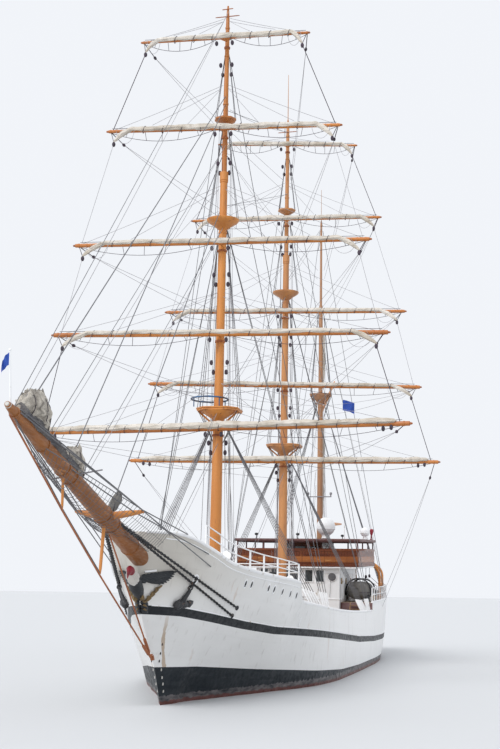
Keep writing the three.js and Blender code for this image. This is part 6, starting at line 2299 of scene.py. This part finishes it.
def buildSpanker():
    jaws = masts["mizzen"]["x"] - 0.32
    fit(spar("spankerBoom", at(jaws, 0, 10.2), at(-29.6, 0, 10.7),
             [(0, 0.08), (0.02, 0.1), (0.3, 0.15), (0.7, 0.13), (0.98, 0.08), (1, 0.06)], 24),
        "sparPaint", "boom", "spar_ochre", ["spanker_boom"])
    fit(spar("spankerGaff", at(jaws, 0, 19.0), at(-25.2, 0, 22.6),
             [(0, 0.08), (0.4, 0.12), (0.97, 0.06), (1, 0.05)], 20),
        "sparPaint", "gaff", "spar_ochre", ["spanker_gaff"])
    for name, sail in bundles.items():
        steps, ahead, side = sail["steps"], sail["ahead"], sail["side"]
        heights = [(mix(sail["low"], sail["high"], step / steps),
                    sail["wide"] + 0.1 * math.sin(step / steps * math.pi))
                   for step in range(steps + 1)]
        rings = []
        for index, (height, wide) in enumerate(heights):
            for sub in range(3 if index < steps else 1):
                level = height + sub * (heights[1][0] - heights[0][0]) / 3
                pinch = 1 - 0.22 * max(0, math.cos(level * 2 * math.pi / 1.2)) ** 3
                ring = []
                for turn in range(29):
                    angle = turn % 28 / 28 * 2 * math.pi
                    crease = noise.noise(Vector((math.cos(angle), math.sin(angle), level * 0.8)))
                    fold = 1 + 0.14 * math.sin(5 * angle + level * 0.8) + 0.2 * crease
                    ring.append(onMast("mizzen", level, ahead + wide * fold * pinch * math.cos(angle),
                                       side + wide * 0.8 * fold * pinch * math.sin(angle)))
                rings.append(ring)
        closeEnds(rings)
        piece = gridOver(name, rings, wrap=True)
        smooth(piece, 60)
        fit(piece, "canvas")
    across = lambda height, y: onMast("mizzen", height, 0.25, y)
    arms = [spar("arms", across(12.3, -0.95), across(12.3, 0.95), [(0, 0.04), (1, 0.04)], 10)]
    arms += [spar("lampStem", across(12.3, y), across(12.65, y), turned["lampStem"], 12) for y in (-0.9, 0.9)]
    fit(join("mizzenLampArms", arms), "ropePale")


flags = [
    {"name": "jack", "corner": (47.5, -0.03, 12.82), "fly": (0.05, -0.22, -0.12), "drop": 0.42,
     "rests": "jackStaff"},
    {"name": "mizzenFlag", "corner": (-18.4, 1.67, 20.1), "fly": (-0.2, 0.92, -0.12), "drop": 0.85,
     "rests": "flagHalyard"},
]


def buildFlags():
    head, corner = onMast("mizzen", 27.4, -0.05, 0.12), at(*flags[1]["corner"])
    foot = partWay((head, head + (corner - head) * 4), (railHeight(-20) + 0.1) * modelScale)
    fit(ropes("flagHalyard", [[head, foot]], wires["thin"]), "ropePale")
    for flag in flags:
        corner, fly = at(*flag["corner"]), Vector(flag["fly"]) * modelScale
        side = fly.cross(axisZ).normalized()
        rows = []
        for step in range(17):
            share = step / 16
            row = []
            for down in range(13):
                wave = 0.05 * math.sin(share * 9 + down * 0.25) * share
                drop = down / 12 * flag["drop"] * modelScale + 0.08 * share * share
                row.append(corner + fly * share + side * wave - rise(drop))
            rows.append(row)
        piece = gridOver(f"{flag['name']}Cloth", rows)
        smooth(piece, 70)
        fit(piece, "flagBlue")


buildDeckhouse()
buildBridge()
buildRoof()
buildWheelhouse()
buildDomes()
buildWaistHouse()
for place in bpy.data.objects["wheelhouse"].material_slots:      # the CAD's own piece stays, and is varnished
    place.material = materials["varnish"]
print("houses done")
buildPinRails()
buildBollards()
buildDeckGear()
buildHelm()
buildWindlass()
buildDavits()
buildBoat()
buildSpanker()
buildFlags()
print("deck gear, boats and mizzen done")

bpy.data.objects.remove(pulley)

bpy.context.scene.view_settings.view_transform = "Standard"
addCamera()
addLight()
bpy.ops.mesh.primitive_plane_add(size=light["floor"])
floor = named("floor")
floorMaterial = startMaterial("floor", 0.9)[0]
floorMaterial.node_tree.nodes["Principled BSDF"].inputs["Base Color"].default_value = (0.6, 0.61, 0.62, 1)
floor.data.materials.append(floorMaterial)
deselect()
